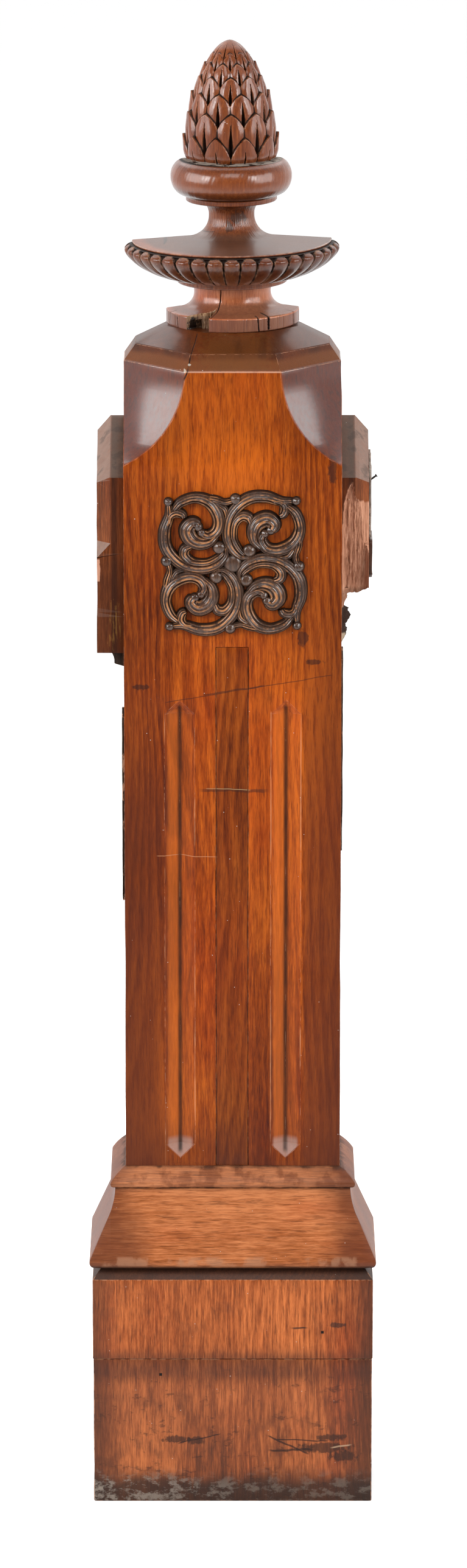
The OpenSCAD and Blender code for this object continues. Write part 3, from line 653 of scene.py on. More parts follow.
def shaft_wood(name, seed, tones=SHAFT_TONES):
    """Figured walnut, reddened and darkened where hands, light and dirt have reached it, with
    a browner cap and near-black varnish in the scooped corners."""
    wood = walnut(name, tones, seed=seed, shine=0.30, figure=1.0, varnish=0.05, arch=0.10,
                  rings_per_m=95)
    wood.shader.inputs["Coat Roughness"].default_value = CLEAR_GLOSS
    cloud = wood.cloud(wood.scaled((30, 30, 12), (4, 1, 0)), 3.0)

    # Darker beside the ornament, along the edges, right of the strip and at both ends
    high_up = wood.z.rise(0.86, 0.98)
    flank = abs(wood.x).rise(0.03, 0.075)
    wood.shade(high_up * flank, 0.72)
    wood.shade(wood.x.rise(0.070, 0.078) * (1 - high_up), 0.78)
    rim = (abs(wood.x) + (cloud - 0.5) * 0.03).rise(0.082, 0.112) * (1 - wood.z.rise(1.0, 1.12))
    wood.shade(rim, 0.70)
    wood.shade(1 - wood.z.rise(0.42, 0.66), 0.80)
    wood.shade(wood.z.rise(1.15, 1.2), 0.79)
    wood.shade(wood.near(wood.x, 0.031, 0.007, 0.007) * (1 - high_up), 0.82)

    # The grooves: painted light on their slopes, most of all on the left ones, and rubbed arrises
    slope = wood.near(abs(wood.x), GROOVE_X, 11 * MM, 4 * MM)
    slope = slope * (1 - wood.z.rise(GROOVE_TOP, GROOVE_TOP + 5 * MM))
    slope = slope * wood.y.rise(SHAFT_FACE + 0.3 * MM, SHAFT_FACE + 1.5 * MM)
    outer_slopes = wood.near(abs(wood.x), GROOVE_X + SLOPE_HALF, SLOPE_HALF, 0.6 * MM)
    lit_left_slopes = 1 - outer_slopes * wood.x.rise(0, 1 * MM)
    lit_left_slopes = lit_left_slopes - wood.near(wood.x, SLOPE_HALF - GROOVE_X, SLOPE_HALF, 0.6 * MM)
    wood.stain(slope * (0.10 + lit_left_slopes.most(0) * 0.22), (1.0, 0.24, 0.025))
    arris = wood.near(abs(wood.x), GROOVE_X + GROOVE_HALF, 0.3 * MM, 0.7 * MM)
    arris = arris + wood.near(abs(wood.x), GROOVE_X - GROOVE_HALF, 0.3 * MM, 0.7 * MM)
    arris = arris * (1 - wood.z.rise(GROOVE_TOP, GROOVE_TOP + 3 * MM))
    arris = arris * wood.cloud(wood.scaled((60, 60, 16)), 3.0).rise(0.46, 0.62)
    wood.stain(arris * 0.36, (0.90, 0.38, 0.16), 0.5)
    left = 1 - (wood.x + (cloud - 0.5) * 0.02).rise(-0.085, -0.06)
    low = 1 - wood.z.rise(0.75, 1.05)
    wood.stain(left * low * 0.68, (0.115, 0.022, 0.006))
    right = wood.x.rise(0.074, 0.082)
    wood.stain(right * low * 0.55, (0.14, 0.027, 0.007))
    # A painted pale sheen on the lower ends of the grooves
    groove_foot_sheen = slope * (1 - wood.z.rise(0.402, 0.410)) * wood.z.rise(0.38, 0.385)
    wood.stain(groove_foot_sheen * 0.6, (0.60, 0.42, 0.36), 0.45)
    soot = (1 - (wood.z + (cloud - 0.5) * 0.05).rise(0.385, 0.44)) * 0.4
    wood.stain(soot, (0.09, 0.018, 0.006))

    # The cap: dull brown, rubbed along its eave and olive in the middle
    cap = wood.z.rise(SHAFT_TOP + 0.5 * MM, SHAFT_TOP + 2 * MM)
    wood.stain(cap * (0.98 - cloud * 0.3), (0.075, 0.021, 0.007), 0.42)
    ragged_z = wood.z + (cloud - 0.5) * 6 * MM
    bevel = cap * (1 - ragged_z.rise(SHAFT_TOP + 9 * MM, SHAFT_TOP + 15 * MM))
    wood.stain(bevel * 0.42, (0.24, 0.080, 0.022))
    olive = wood.spot(0.004, SHAFT_TOP + 17 * MM, 0.043, 0.020, 0.5) * cap
    wood.stain(olive * 0.32, (0.17, 0.068, 0.018))
    streaks = wood.cloud(wood.scaled((60, 9, 9), (6, 2, 1)), 4.0).rise(0.46, 0.66)
    wood.stain(cap * (1 - bevel) * streaks * 0.45, (0.036, 0.012, 0.005))
    eave = wood.near(wood.z, SHAFT_TOP + 0.3 * MM, 0.4 * MM, 0.8 * MM) * cloud.rise(0.2, 0.45)
    wood.stain(eave * 0.6, (0.72, 0.40, 0.26), 0.5)

    # The scooped corners keep a thick dark varnish
    scoop = wood.y.rise(SHAFT_FACE + 0.6 * MM, SHAFT_FACE + 2.5 * MM) * (1 - cap)
    scoop = scoop * wood.z.rise(SCOOP_LOW, SCOOP_LOW + 5 * MM)
    scoop = scoop * (1 - abs(wood.x).rise(116 * MM, 116.6 * MM))
    wood.stain(scoop * 0.8, (0.085, 0.016, 0.008), 0.30)
    mottle = wood.cloud(wood.scaled((260, 260, 120), (1, 7, 2)), 4.0)
    wood.stain(scoop * mottle.rise(0.48, 0.66) * 0.5, (0.026, 0.008, 0.006))
    wood.varnish = wood.varnish + scoop * (0.65 + 0.7 * mottle) + cap * 0.12

    for start, end, width in CAP_CRACKS:
        wood.stain(wood.scratch(start, end, width) * 0.9, DIRT, 0.8, 0.6 * MM)
    for x, z, wide, high in CAP_FILLER:
        wood.stain(wood.spot(x, z, wide, high, 0.5) * 0.65, (0.66, 0.58, 0.48), 0.8)
    for start, end, width in DARK_SCRATCHES:
        wood.stain(wood.scratch(start, end, width) * 0.6, (0.05, 0.014, 0.006), 0.6, 0.2 * MM)
    wood.stain(wood.scratch((-0.083, 0.726), (-0.016, 0.725), 0.7 * MM) * 0.7, (0.6, 0.26, 0.12))
    wood.stain(wood.scratch((-0.030, 0.802), (0.020, 0.800), 0.8 * MM) * 0.6, (0.5, 0.30, 0.14))
    for x, z, wide, high in DARK_MARKS:
        wood.stain(wood.spot(x, z, wide, high, 0.5) * 0.7, (0.03, 0.009, 0.005), 0.6)
    return wood


def seams(wood):
    """Dirt in the glue lines down both sides of the let-in strip and across its end."""
    broken = wood.cloud(wood.scaled((5, 5, 90), (0, 0, 3)), 3.0).rise(0.35, 0.6)
    inside = 1 - wood.z.rise(STRIP[1].z, STRIP[1].z + 0.5 * MM)
    for x in (STRIP[0].x, STRIP[1].x):
        wood.stain(wood.near(wood.x, x, 0.2 * MM, 0.5 * MM) * broken * inside * 0.8, DIRT)


GROOVE_DIRT = (0.020, 0.009, 0.005)
wood = shaft_wood("shaft_wood", 9.0)
for x in (-GROOVE_X, GROOVE_X):
    deep = wood.near(wood.x, x, 0.7 * MM, 3.0 * MM) * (1 - wood.z.rise(0.89, 0.895))
    deep = deep * wood.z.rise(0.388, 0.394) * (1 - wood.y.rise(-20 * MM, -10 * MM))
    worn_dirt = wood.cloud(wood.scaled((30, 30, 24), (7, 2, 5)), 3.0)
    wood.stain(deep * (0.45 + 0.6 * worn_dirt), GROOVE_DIRT, 0.6)
seams(wood)
worn("shaft", "square_shaft", finish_wood(wood, 0.75), step=14 * MM,
     depth=0.6 * MM, radius=0.9 * MM, seed=4)

wood = shaft_wood("strip_wood", 21.3, STRIP_TONES)
seams(wood)
worn("centre_strip", "let_in_strip", finish_wood(wood, 0.3), depth=0.15 * MM,
     radius=0.25 * MM, seed=5)


# ---- Rail pads ----
# Blocks on both sides of the shaft, where the hand-rails met the post. The left one keeps
# its chamfers. The right one split when its rail was pulled away, and shows raw fibres.
PAD_TONES = [(0.035, 0.008, 0.002), (0.16, 0.038, 0.008), (0.34, 0.095, 0.024)]
RAW_TONES = [(0.16, 0.058, 0.030), (0.56, 0.25, 0.145), (0.86, 0.48, 0.32)]
BLACK_TONES = [(0.010, 0.006, 0.004), (0.035, 0.018, 0.010), (0.12, 0.06, 0.035)]
GREY_TONES = [(0.10, 0.075, 0.06), (0.36, 0.29, 0.24), (0.70, 0.62, 0.55)]
SALMON = (0.62, 0.30, 0.19)
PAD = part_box("pad_left")
PAD_EDGE = -PAD[0].x
TORN_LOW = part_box("pad_right")[0].z


def pad_wood(name, seed):
    """The varnish of a pad: dull and greyed on its slopes, darker next to the shaft."""
    wood = walnut(name, PAD_TONES, seed=seed, shine=0.42, figure=0.4, varnish=0.04)
    cloud = wood.cloud(wood.scaled((80, 80, 30), (2, 5, 1)), 4.0)
    inner = 1 - abs(wood.x).rise(PAD_EDGE - 17 * MM, PAD_EDGE - 14 * MM)
    low = 1 - (wood.z + (cloud - 0.5) * 0.03).rise(1.02, 1.06)
    wood.stain(inner * 0.45, (0.10, 0.025, 0.008))
    wood.stain(low * 0.55, (0.075, 0.018, 0.006))
    against_shaft = wood.near(abs(wood.x), PAD_EDGE - 19 * MM, 1.5 * MM, 3 * MM)
    wood.stain(inner * against_shaft * 0.5, (0.02, 0.007, 0.004))
    slope = wood.upward.rise(0.25, 0.5)
    wood.stain(slope * (1 - inner) * (0.35 + cloud * 0.8), (0.30, 0.205, 0.165), 0.5)
    wood.stain(slope * inner * (0.4 + cloud * 0.7), (0.13, 0.085, 0.060), 0.4)
    wood.stain(slope * cloud.rise(0.52, 0.64) * 0.5, (0.05, 0.03, 0.022), 0.5)
    wood.stain(wood.upward.rise(0.02, 0.08) * (1 - slope) * 0.6, (0.30, 0.20, 0.16), 0.5)
    return wood


wood = pad_wood("left_pad_wood", 11.0)
gold = wood.cloud(wood.scaled((500, 500, 60)), 4.0).rise(0.48, 0.62)
wood.stain(wood.spot(-0.1275, 0.972, 0.007, 0.030, 0.6) * gold * 0.4, (0.40, 0.19, 0.04))
chip_edge = wood.cloud(wood.scaled((90, 90, 90)), 3.0) * 3 * MM
chip = (chip_edge - wood.x).rise(PAD_EDGE - 2.5 * MM, PAD_EDGE - 1.8 * MM)
chip = chip * wood.near(wood.z + (wood.y - PAD[0].y) * 0.5, 1.0375, 11 * MM, 2 * MM)
chip = chip * (1 - (wood.y + chip_edge * 2).rise(PAD[0].y + 14 * MM, PAD[0].y + 16 * MM))
wood.stain(chip, SALMON, 0.8)
worn("pad_left", "left_rail_pad", finish_wood(wood, 0.8), step=5 * MM, depth=0.8 * MM,
     radius=0.8 * MM, seed=6)
worn("pad_left_under", "left_pad_block",
     finish_wood(walnut("left_block_wood", BLACK_TONES, seed=11.5, shine=0.6), 0.3),
     depth=0.8 * MM, radius=0.8 * MM, seed=7)

# The tear on the right pad: its left and right edges as (height, x) in millimetres. Below it
# one splinter still clings to the side of the shaft.
TEAR_LEFT = [(TORN_LOW / MM, 117.0), (1080, 117.3), (1109, 119.2), (1126, 123.4), (1134, 128.5)]
TEAR_RIGHT = [(1109, 147.0), (1111, 139.7), (1115, 132.5), (1126, 130.0), (1134, 128.5)]


def tear_depth(x, z):
    """How far the front of the right pad is torn back at x, z, all in millimetres."""
    left = np.interp(z, *zip(*TEAR_LEFT))
    right = np.interp(z, *zip(*TEAR_RIGHT))
    if z > TEAR_LEFT[-1][0] or x < left or x > right:
        return 0.0
    rag = noise.noise(Vector((x / 2.2, 0, z / 30))) * 1.5
    rag += noise.noise(Vector((x / 0.9, 5, z / 12))) * 0.8
    deep = 3 + 10 * (TEAR_LEFT[-1][0] - z) / (TEAR_LEFT[-1][0] - TORN_LOW / MM)
    return max(0.3, min(deep, 2.2 * min(x - left + 0.3, right - x + 0.3)) + rag)


bm = solid_copy("pad_left")
bmesh.ops.scale(bm, vec=(-1, 1, 1), verts=bm.verts)
bmesh.ops.reverse_faces(bm, faces=bm.faces)
bmesh.ops.bisect_plane(bm, geom=bm.verts[:] + bm.edges[:] + bm.faces[:], dist=1e-6,
                       plane_co=(0, 0, TORN_LOW), plane_no=(0, 0, -1), clear_outer=True)
bmesh.ops.holes_fill(bm, edges=[e for e in bm.edges if e.is_boundary], sides=0)
# Cut into a fine net of points, so that the tear can push them back
NET_WIDTH = 0.9 * MM
NET_HEIGHT = 2.4 * MM
NET_ROWS = 54
cut_across(bm, 0, NET_WIDTH)
for k in range(1, NET_ROWS):
    bmesh.ops.bisect_plane(bm, geom=bm.verts[:] + bm.edges[:] + bm.faces[:], dist=1e-6,
                           plane_co=(0, 0, TORN_LOW + k * NET_HEIGHT), plane_no=(0, 0, 1))

# Only the front of the pad is torn back. Its broken lower end climbs towards the outer edge.
TEAR_DEEPEST = 16 * MM
FOOT_HEIGHT = 16 * MM
CLIMB_FROM = 0.134
SHAFT_SIDE = 117.0
torn_layer = bm.verts.layers.float.new("torn")
black_layer = bm.verts.layers.float.new("black")
for v in bm.verts:
    depth = tear_depth(v.co.x / MM, v.co.z / MM) * MM
    if depth > 0 and v.co.y < PAD[0].y + TEAR_DEEPEST:
        v.co.y = max(v.co.y, PAD[0].y + depth)
        v[torn_layer] = 1.0
    if v.co.z < TORN_LOW + FOOT_HEIGHT:
        outward = max(0.0, v.co.x - CLIMB_FROM) / (PAD_EDGE - CLIMB_FROM)
        climb = (8 * outward ** 1.3 + noise.noise(v.co * 260) * 2.2) * MM
        climb *= v.co.x > (SHAFT_SIDE + 0.5) * MM
        v.co.z += max(0.0, climb) * (1 - (v.co.z - TORN_LOW) / FOOT_HEIGHT)

# The splinter's thickness in millimetres as (share of its length, thickness), top to bottom.
# Its lower part, past SPLINTER_BLACK, is blackened.
SPLINTER = [(0, 8.0), (0.12, 6.0), (0.30, 2.4), (0.36, 2.0), (0.44, 6.5), (0.55, 8.0), (0.72, 3.0),
            (0.78, 5.0), (0.9, 4.0), (1.0, 0.0)]
SPLINTER_BLACK = 0.36
SPLINTER_LENGTH = 60
SPLINTER_DEPTH = 26
SPLINTER_INSET = 6
splinter = bmesh.ops.create_grid(bm, x_segments=12, y_segments=44, size=1)["verts"]
for v in splinter:
    back = (v.co.x + 1) / 2
    down = (1 - v.co.y) / 2
    z = TORN_LOW / MM + SPLINTER_INSET - SPLINTER_LENGTH * down
    y = PAD[0].y / MM + SPLINTER_INSET + SPLINTER_DEPTH * back
    thick = np.interp(down, *zip(*SPLINTER))
    rag = 1 + 0.45 * noise.noise(Vector((back * 5, down * 22, 1)))
    rag += 0.25 * noise.noise(Vector((back * 14, down * 60, 4)))
    rim = min(1.0, 6 * min(back, 1 - back) + 0.02)
    v[black_layer] = 1.0 if down > SPLINTER_BLACK else 0.0
    v[torn_layer] = 1.0
    v.co = ((SHAFT_SIDE + max(0.0, thick * rag * rim)) * MM, y * MM, z * MM)
splinter_rim = {e for v in splinter for e in v.link_edges if e.is_boundary}
bmesh.ops.holes_fill(bm, edges=list(splinter_rim), sides=0)
bmesh.ops.recalc_face_normals(bm, faces=bm.faces)

wood = pad_wood("right_pad_wood", 12.0)
torn = wood.attribute("torn")
fibre = wood.cloud(wood.scaled((1100, 1100, 35)), 4.0, 0.7)
patch = wood.cloud(wood.scaled((60, 60, 25)), 3.0)
raw = wood.ramp(fibre * 0.75 + patch * 0.25, list(zip((0.36, 0.5, 0.66), RAW_TONES)))
wood.stain(torn, wood.blend(1, raw, (TONE, TONE, TONE), "MULTIPLY"), 0.85)
wood.height = wood.height + torn * fibre * 0.0008
black = wood.attribute("black")
broken_end = 1 - (wood.z + (patch - 0.5) * 6 * MM).rise(TORN_LOW + 3 * MM, TORN_LOW + 9 * MM)
wood.stain(broken_end * 0.5 * (1 - black), (0.10, 0.045, 0.025), 0.85)
crumbs = black * wood.near(wood.z, 0.960, 5 * MM, 3 * MM) * patch.rise(0.42, 0.56)
wood.stain(black * 0.96, (0.02, 0.011, 0.008), 0.8)
wood.stain(crumbs * 0.8, (0.60, 0.46, 0.32), 0.9)
wood.varnish = wood.varnish * (1 - torn)
make_piece(bm, "right_rail_pad", finish_wood(wood, 0.4), ["pad_right"], smooth=45)

worn("rail_remnant", "rail_slice",
     finish_wood(walnut("rail_slice_wood", GREY_TONES, seed=12.4, shine=0.8, varnish=0.0), 0.2),
     step=2 * MM, depth=1.2 * MM, radius=0.4 * MM, seed=9)
worn("rail_stub", "rail_stub_end",
     finish_wood(walnut("rail_stub_wood", BLACK_TONES, seed=12.8, shine=0.3, varnish=0.5), 0.2),
     step=5 * MM, depth=0.5 * MM, radius=0.7 * MM, seed=10)
for side, seed in (("left", 13.4), ("right", 13.8)):
    wood = walnut(f"torn_{side}_wood", BLACK_TONES, seed=seed, shine=0.75, varnish=0.0)
    pale = wood.cloud(wood.scaled((200, 200, 60), (seed, 0, 0)), 4.0).rise(0.55, 0.64)
    wood.stain(pale * 0.8, (0.55, 0.28, 0.17), 0.85)
    worn(f"back_strip_{side}", f"torn_strip_{side}", finish_wood(wood, 0.2),
         step=4 * MM, depth=1.0 * MM, radius=0.4 * MM, seed=12)

# The nail is dark iron, rusted in patches
iron = Finish("nail_iron")
rust = iron.cloud(iron.scaled((400, 400, 400)), 4.0)
iron.colour = iron.ramp(rust, [(0.4, (0.05, 0.05, 0.053)), (0.6, (0.03, 0.018, 0.012))])
iron.rough = 0.42 + rust * 0.3
iron.height = rust * 0.0003
iron.shader.inputs["Metallic"].default_value = 0.75
worn("nail", "bent_nail", iron.close(0.4), step=3 * MM, depth=0.1 * MM,
     radius=0.15 * MM, seed=11)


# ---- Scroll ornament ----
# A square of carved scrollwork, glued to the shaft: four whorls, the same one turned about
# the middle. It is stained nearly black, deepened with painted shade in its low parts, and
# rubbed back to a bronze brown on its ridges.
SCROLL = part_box("scroll_ornament")
SCROLL_MIDDLE = (SCROLL[0] + SCROLL[1]) / 2
SCROLL_HIGH = (SHAFT_FACE - SCROLL[0].y) / MM
# One whorl's frets, each a line of (x, z, width), and its bosses as (x, z, radius), drawn in
# millimetres from the middle of the square and later fitted to it
STROKES = [
    [(-71, 69, 5), (-70, 54, 8), (-75, 37, 10), (-74, 20, 10.5), (-66, 7, 10),
     (-52, -3, 10), (-34, -6, 10), (-19, -2, 9), (-9, 7, 7), (-7.5, 16, 5), (-11, 22, 4)],
    [(-66, 59, 6), (-57, 69, 8.5), (-42, 74, 9), (-28, 70.5, 10.5), (-19, 61, 11),
     (-15, 48, 10.5), (-18, 37, 10), (-27, 31.5, 9.5), (-35, 35, 8)],
    [(-34, 74, 5), (-20, 72, 7), (-9, 69, 6), (1, 71, 6)],
    [(-19, 68, 6), (-9, 61, 7), (-7, 50, 3)],
    [(-37, 42, 9), (-44, 45.5, 12), (-50, 38, 14), (-46, 28, 14), (-36, 23, 12),
     (-25, 25, 9), (-17, 33, 6)],
    [(-70, 44, 5), (-69, 53, 7), (-63, 57.5, 8.5), (-56, 55.5, 8), (-54, 51, 6)],
    [(-44, 20, 5), (-52, 17, 9), (-53, 9, 9), (-44, 1.5, 8), (-28, 1, 7), (-15, 8, 6),
     (-10, 14, 5)],
]
BALLS = [(-15, 18.5, 6.8), (3, 73, 5.8), (-34.5, 35.5, 4.6), (-38, 42, 5), (-71, 70, 4.6)]
BOSS_R = 9.5
FULLNESS = 1.47
# The lines carved along a fret: where each lies across it, from -1 to 1, and how deep it is
LINES = ((-0.55, 0.16), (-0.12, 0.15), (0.44, 0.24))
FRET_COLUMNS = 38
BRONZE_TONES = [(0.018, 0.009, 0.006), (0.072, 0.034, 0.020), (0.18, 0.090, 0.052)]


def smooth_line(points, steps=10):
    """Points along a smooth line through the given ones, widths included."""
    ends = len(points) - 1
    p = [np.array(points[max(0, min(ends, k))], float) for k in range(-1, ends + 2)]
    line = []
    for k in range(1, len(p) - 2):
        a, b, c, d = p[k - 1:k + 3]
        for t in np.arange(steps) / steps:
            line.append((2 * b + (c - a) * t + (2 * a - 5 * b + 4 * c - d) * t * t
                         + (3 * b - a - 3 * c + d) * t * t * t) / 2)
    return np.array(line + [p[-2]])


def scroll_section(v):
    """Height of a stroke across its width, v from -1 outside the curl to 1 inside it: a full
    round with three carved lines in it."""
    body = math.sqrt(max(0.0, 1 - abs(v) ** 2.3))
    lines = sum(deep * math.exp(-((v - at) / 0.10) ** 2) for at, deep in LINES)
    return body * (1 - lines)


def scroll_ridge(v):
    """1 on the ridges between the carved lines, 0 in the lines and down the sides."""
    lines = sum(math.exp(-((v - at) / 0.15) ** 2) for at, _ in LINES)
    return max(0.0, 1 - lines) * max(0.0, 1 - v ** 4)


def carve_stroke(bm, points, lift, layer, ridges):
    """One fret: a strip laid along its line, raised to the section and closed beneath."""
    line = smooth_line(points)
    run = np.gradient(line[:, :2], axis=0)
    run /= np.linalg.norm(run, axis=1)[:, None]
    bow = np.sum(run[:-1, 0] * run[1:, 1] - run[:-1, 1] * run[1:, 0])
    curl = 1.0 if bow > 0 else -1.0
    last = len(line) - 1
    made = bmesh.ops.create_grid(bm, x_segments=last, y_segments=FRET_COLUMNS, size=1)
    for v in made["verts"]:
        k = round((v.co.x + 1) / 2 * last)
        across = math.sin(v.co.y * math.pi / 2)
        x, z, width = line[k]
        left = np.array((-run[k][1], run[k][0])) * curl
        end = min(1.0, min(k, last - k) / 5)
        round_end = math.sqrt(1 - (1 - end) ** 2)
        side = across * width * 0.5 * FULLNESS * (0.25 + 0.75 * round_end)
        high = scroll_section(across) * (0.45 + 0.55 * round_end) * min(1.0, 0.62 + width / 26)
        if k in (0, last):
            high = 0
        v[layer] = max(0.0, min(1.0, high * 1.06)) ** 3
        v[ridges] = scroll_ridge(across) * round_end * min(1.0, high * 1.3)
        v.co = ((x + left[0] * side), -high * lift, (z + left[1] * side))
    rim = [e for v in made["verts"] for e in v.link_edges if e.is_boundary]
    bmesh.ops.holes_fill(bm, edges=list(set(rim)), sides=0)
    return made["verts"]


def carve_ball(bm, x, z, r, layer, lift=1.0):
    """A round boss with a shallow spiral cut in it."""
    ball = bmesh.ops.create_uvsphere(bm, u_segments=24, v_segments=16, radius=1)["verts"]
    for v in ball:
        swirl = math.atan2(v.co.z, v.co.x) + 5.0 * math.hypot(v.co.x, v.co.z)
        v[layer] = max(0.0, -v.co.y) ** 2
        high = (v.co.y * (0.62 - 0.05 * math.cos(swirl)) - 0.33) * lift
        v.co = (x + v.co.x * r * 1.12, min(0.0, high * SCROLL_HIGH), z + v.co.z * r * 1.12)
    return ball


bm = bmesh.new()
crest_layer = bm.verts.layers.float.new("crest")
ridge_layer = bm.verts.layers.float.new("ridge")
for turn in range(4):
    spin = Matrix.Rotation(math.radians(-90 * turn), 4, "Y")
    verts = []
    for k, points in enumerate(STROKES):
        # Each fret stands at a height of its own, so that crossing frets don't lie in one face
        share = 0.82 + 0.025 * ((k * 5) % 7)
        verts += carve_stroke(bm, points, SCROLL_HIGH * share, crest_layer, ridge_layer)
    for x, z, r in BALLS:
        verts += carve_ball(bm, x, z, r, crest_layer)
    bmesh.ops.transform(bm, matrix=spin, verts=verts)
carve_ball(bm, 0, 0, BOSS_R, crest_layer, 0.78)
reach = max(abs(v.co.x) for v in bm.verts)
fit = (SCROLL[1].x - SCROLL[0].x) / 2 / reach
bmesh.ops.scale(bm, vec=(fit, MM, fit), verts=bm.verts)
bmesh.ops.translate(bm, vec=(SCROLL_MIDDLE.x, SHAFT_FACE, SCROLL_MIDDLE.z), verts=bm.verts)
bmesh.ops.recalc_face_normals(bm, faces=bm.faces)

bronze = walnut("scroll_wood", BRONZE_TONES, seed=15.0, shine=0.26, figure=0.1, sawn=False,
                varnish=0.8)
crest = bronze.attribute("crest")
# Dark stain and painted shade on the low sides of the frets and bosses
bronze.stain((1 - crest.rise(0.05, 0.6)) * 0.85, (0.012, 0.008, 0.006), 0.5)
rubbed = bronze.attribute("ridge").rise(0.35, 0.9)
broad = bronze.cloud(bronze.scaled((75, 75, 75)), 4.0).rise(0.42, 0.62)
bronze.stain(rubbed * broad * 0.8, (0.62, 0.25, 0.080), 0.24)
fine = bronze.cloud(bronze.scaled((300, 300, 300)), 4.0).rise(0.5, 0.65)
bronze.stain(rubbed * fine * 0.5, (0.50, 0.19, 0.060), 0.24)
bronze.varnish = bronze.varnish * crest.rise(0.15, 0.7)
bronze.shader.inputs["Coat Roughness"].default_value = CLEAR_GLOSS
# Dirt and painted shade where the carving meets the shaft
deep = bronze.y.rise(SHAFT_FACE - 2.0 * MM, SHAFT_FACE - 0.2 * MM)
bronze.stain(deep * 0.9, DIRT, 0.7)
make_piece(bm, "scroll_carving", finish_wood(bronze, 0.0), ["scroll_ornament"],
           smooth=60)


# ---- Finial ----
# Turned and carved from one block of walnut and set on the cap, leaning a hair to the left.
# Its foot is a disc under a coved neck. A piece was split out of the disc, and it has cracks.
FINIAL_TONES = [(0.10, 0.020, 0.004), (0.20, 0.045, 0.009), (0.36, 0.100, 0.024)]
FOOT_TONES = [(0.27, 0.070, 0.024), (0.50, 0.140, 0.048), (0.70, 0.240, 0.100)]
FINIAL_GLOSS = 0.2
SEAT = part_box("shaft")[1].z / MM
# Its lean in degrees, and how near, in millimetres, two turned points are made one
LEAN = 0.6
SAME_TURNED_POINT = 0.01


def half_turned(outline, columns):
    """The front half of a turned solid: its outline [radius, height] spun half a turn, and
    closed with one flat face where it was sawn."""
    bm = bmesh.new()
    verts = [bm.verts.new((r, 0, z)) for r, z in outline]
    edges = [bm.edges.new(pair) for pair in zip(verts, verts[1:])]
    bmesh.ops.spin(bm, geom=verts + edges, axis=(0, 0, 1), cent=(0, 0, 0), dvec=(0, 0, 0),
                   angle=-math.pi, steps=columns, use_merge=False)
    bmesh.ops.remove_doubles(bm, verts=bm.verts, dist=SAME_TURNED_POINT)
    bmesh.ops.holes_fill(bm, edges=[e for e in bm.edges if e.is_boundary], sides=0)
    bmesh.ops.recalc_face_normals(bm, faces=bm.faces)
    return bm


def carve(bm, shape, **marks):
    """Moves every point of a turned mesh to the radius that shape(angle, height, radius)
    gives. Angles are in degrees from the right, so 90 faces front. Each mark, also a
    function of those three, becomes a layer of the same name that the finish reads."""
    co = np.array([v.co for v in bm.verts])
    radius = np.hypot(co[:, 0], co[:, 1])
    angle = np.degrees(np.arctan2(-co[:, 1], co[:, 0]))
    height = co[:, 2]
    carved_radius = np.where(radius > 0.1, shape(angle, height, radius), 0)
    turn = np.radians(angle)
    co[:, 0] = carved_radius * np.cos(turn)
    co[:, 1] = np.where(np.abs(co[:, 1]) < 1e-4, 0, -carved_radius * np.sin(turn))
    for v, place in zip(bm.verts, co):
        v.co = place
    for name, mark in marks.items():
        layer = bm.verts.layers.float.new(name)
        for v, value in zip(bm.verts, mark(angle, height, radius)):
            v[layer] = float(value)


def set_on_cap(bm):
    """Leans the finial, turns millimetres to metres and sets its axis in the sawn plane."""
    lean = Matrix.Rotation(math.radians(-LEAN), 4, "Y")
    seat = Matrix.Translation((0, 0, SEAT))
    place = Matrix.Translation((0, BACK, 0)) @ Matrix.Scale(MM, 4)
    bmesh.ops.transform(bm, matrix=place @ seat @ lean @ seat.inverted(), verts=bm.verts)


def bend(x, z, r, start, stop, steps):
    """Outline points on an arc round [x, z] from one angle to another."""
    turns = np.radians(np.linspace(start, stop, steps))
    return [(x + r * math.cos(t), z + r * math.sin(t)) for t in turns]


def ladder(start, stop, steps):
    """Outline points at even steps on a straight line, without the last one."""
    return [tuple(np.array(start) + (np.array(stop) - start) * k / steps) for k in range(steps)]


def smooth_step(low, high, value):
    """The same step as a Wire's rise, for arrays."""
    t = np.clip((value - low) / (high - low), 0, 1)
    return t * t * (3 - 2 * t)


def ripple(value, seed=0.0):
    """A quick uneven wave between -1 and 1, for fibres and wandering lines."""
    return (np.sin(value * 1.7 + seed) + np.sin(value * 3.9 + seed * 2.3 + 1)
            + np.sin(value * 8.3 + seed * 0.7 + 2)) / 3


def finial_wood(name, seed, tones=FINIAL_TONES, varnish=0.85):
    """Well varnished walnut, with dirt and painted shade in the carved hollows, painted shade
    on its undersides, and duller on its level tops.
    """
    wood = walnut(name, tones, seed=seed, shine=0.32, figure=0.25, varnish=varnish)
    hollow = wood.attribute("hollow")
    grime = wood.cloud(wood.scaled((300, 300, 200), (3, 1, 2)), 3.0)
    # Dirt and painted shade in the carved hollows
    hollow_dirt_and_shade = (hollow * 1.25 + (grime - 0.5) * 0.5).rise(0.25, 0.85)
    wood.stain(hollow_dirt_and_shade * 0.95, (0.012, 0.006, 0.004), 0.6)
    wood.varnish = wood.varnish * (1 - hollow) * (1 - wood.upward.rise(0.75, 0.97) * 0.7)
    wood.shader.inputs["Coat Roughness"].default_value = FINIAL_GLOSS
    # Painted shade on the undersides, which face downward
    wood.shade((0 - wood.upward).rise(0.15, 0.75), 0.6)
    return wood


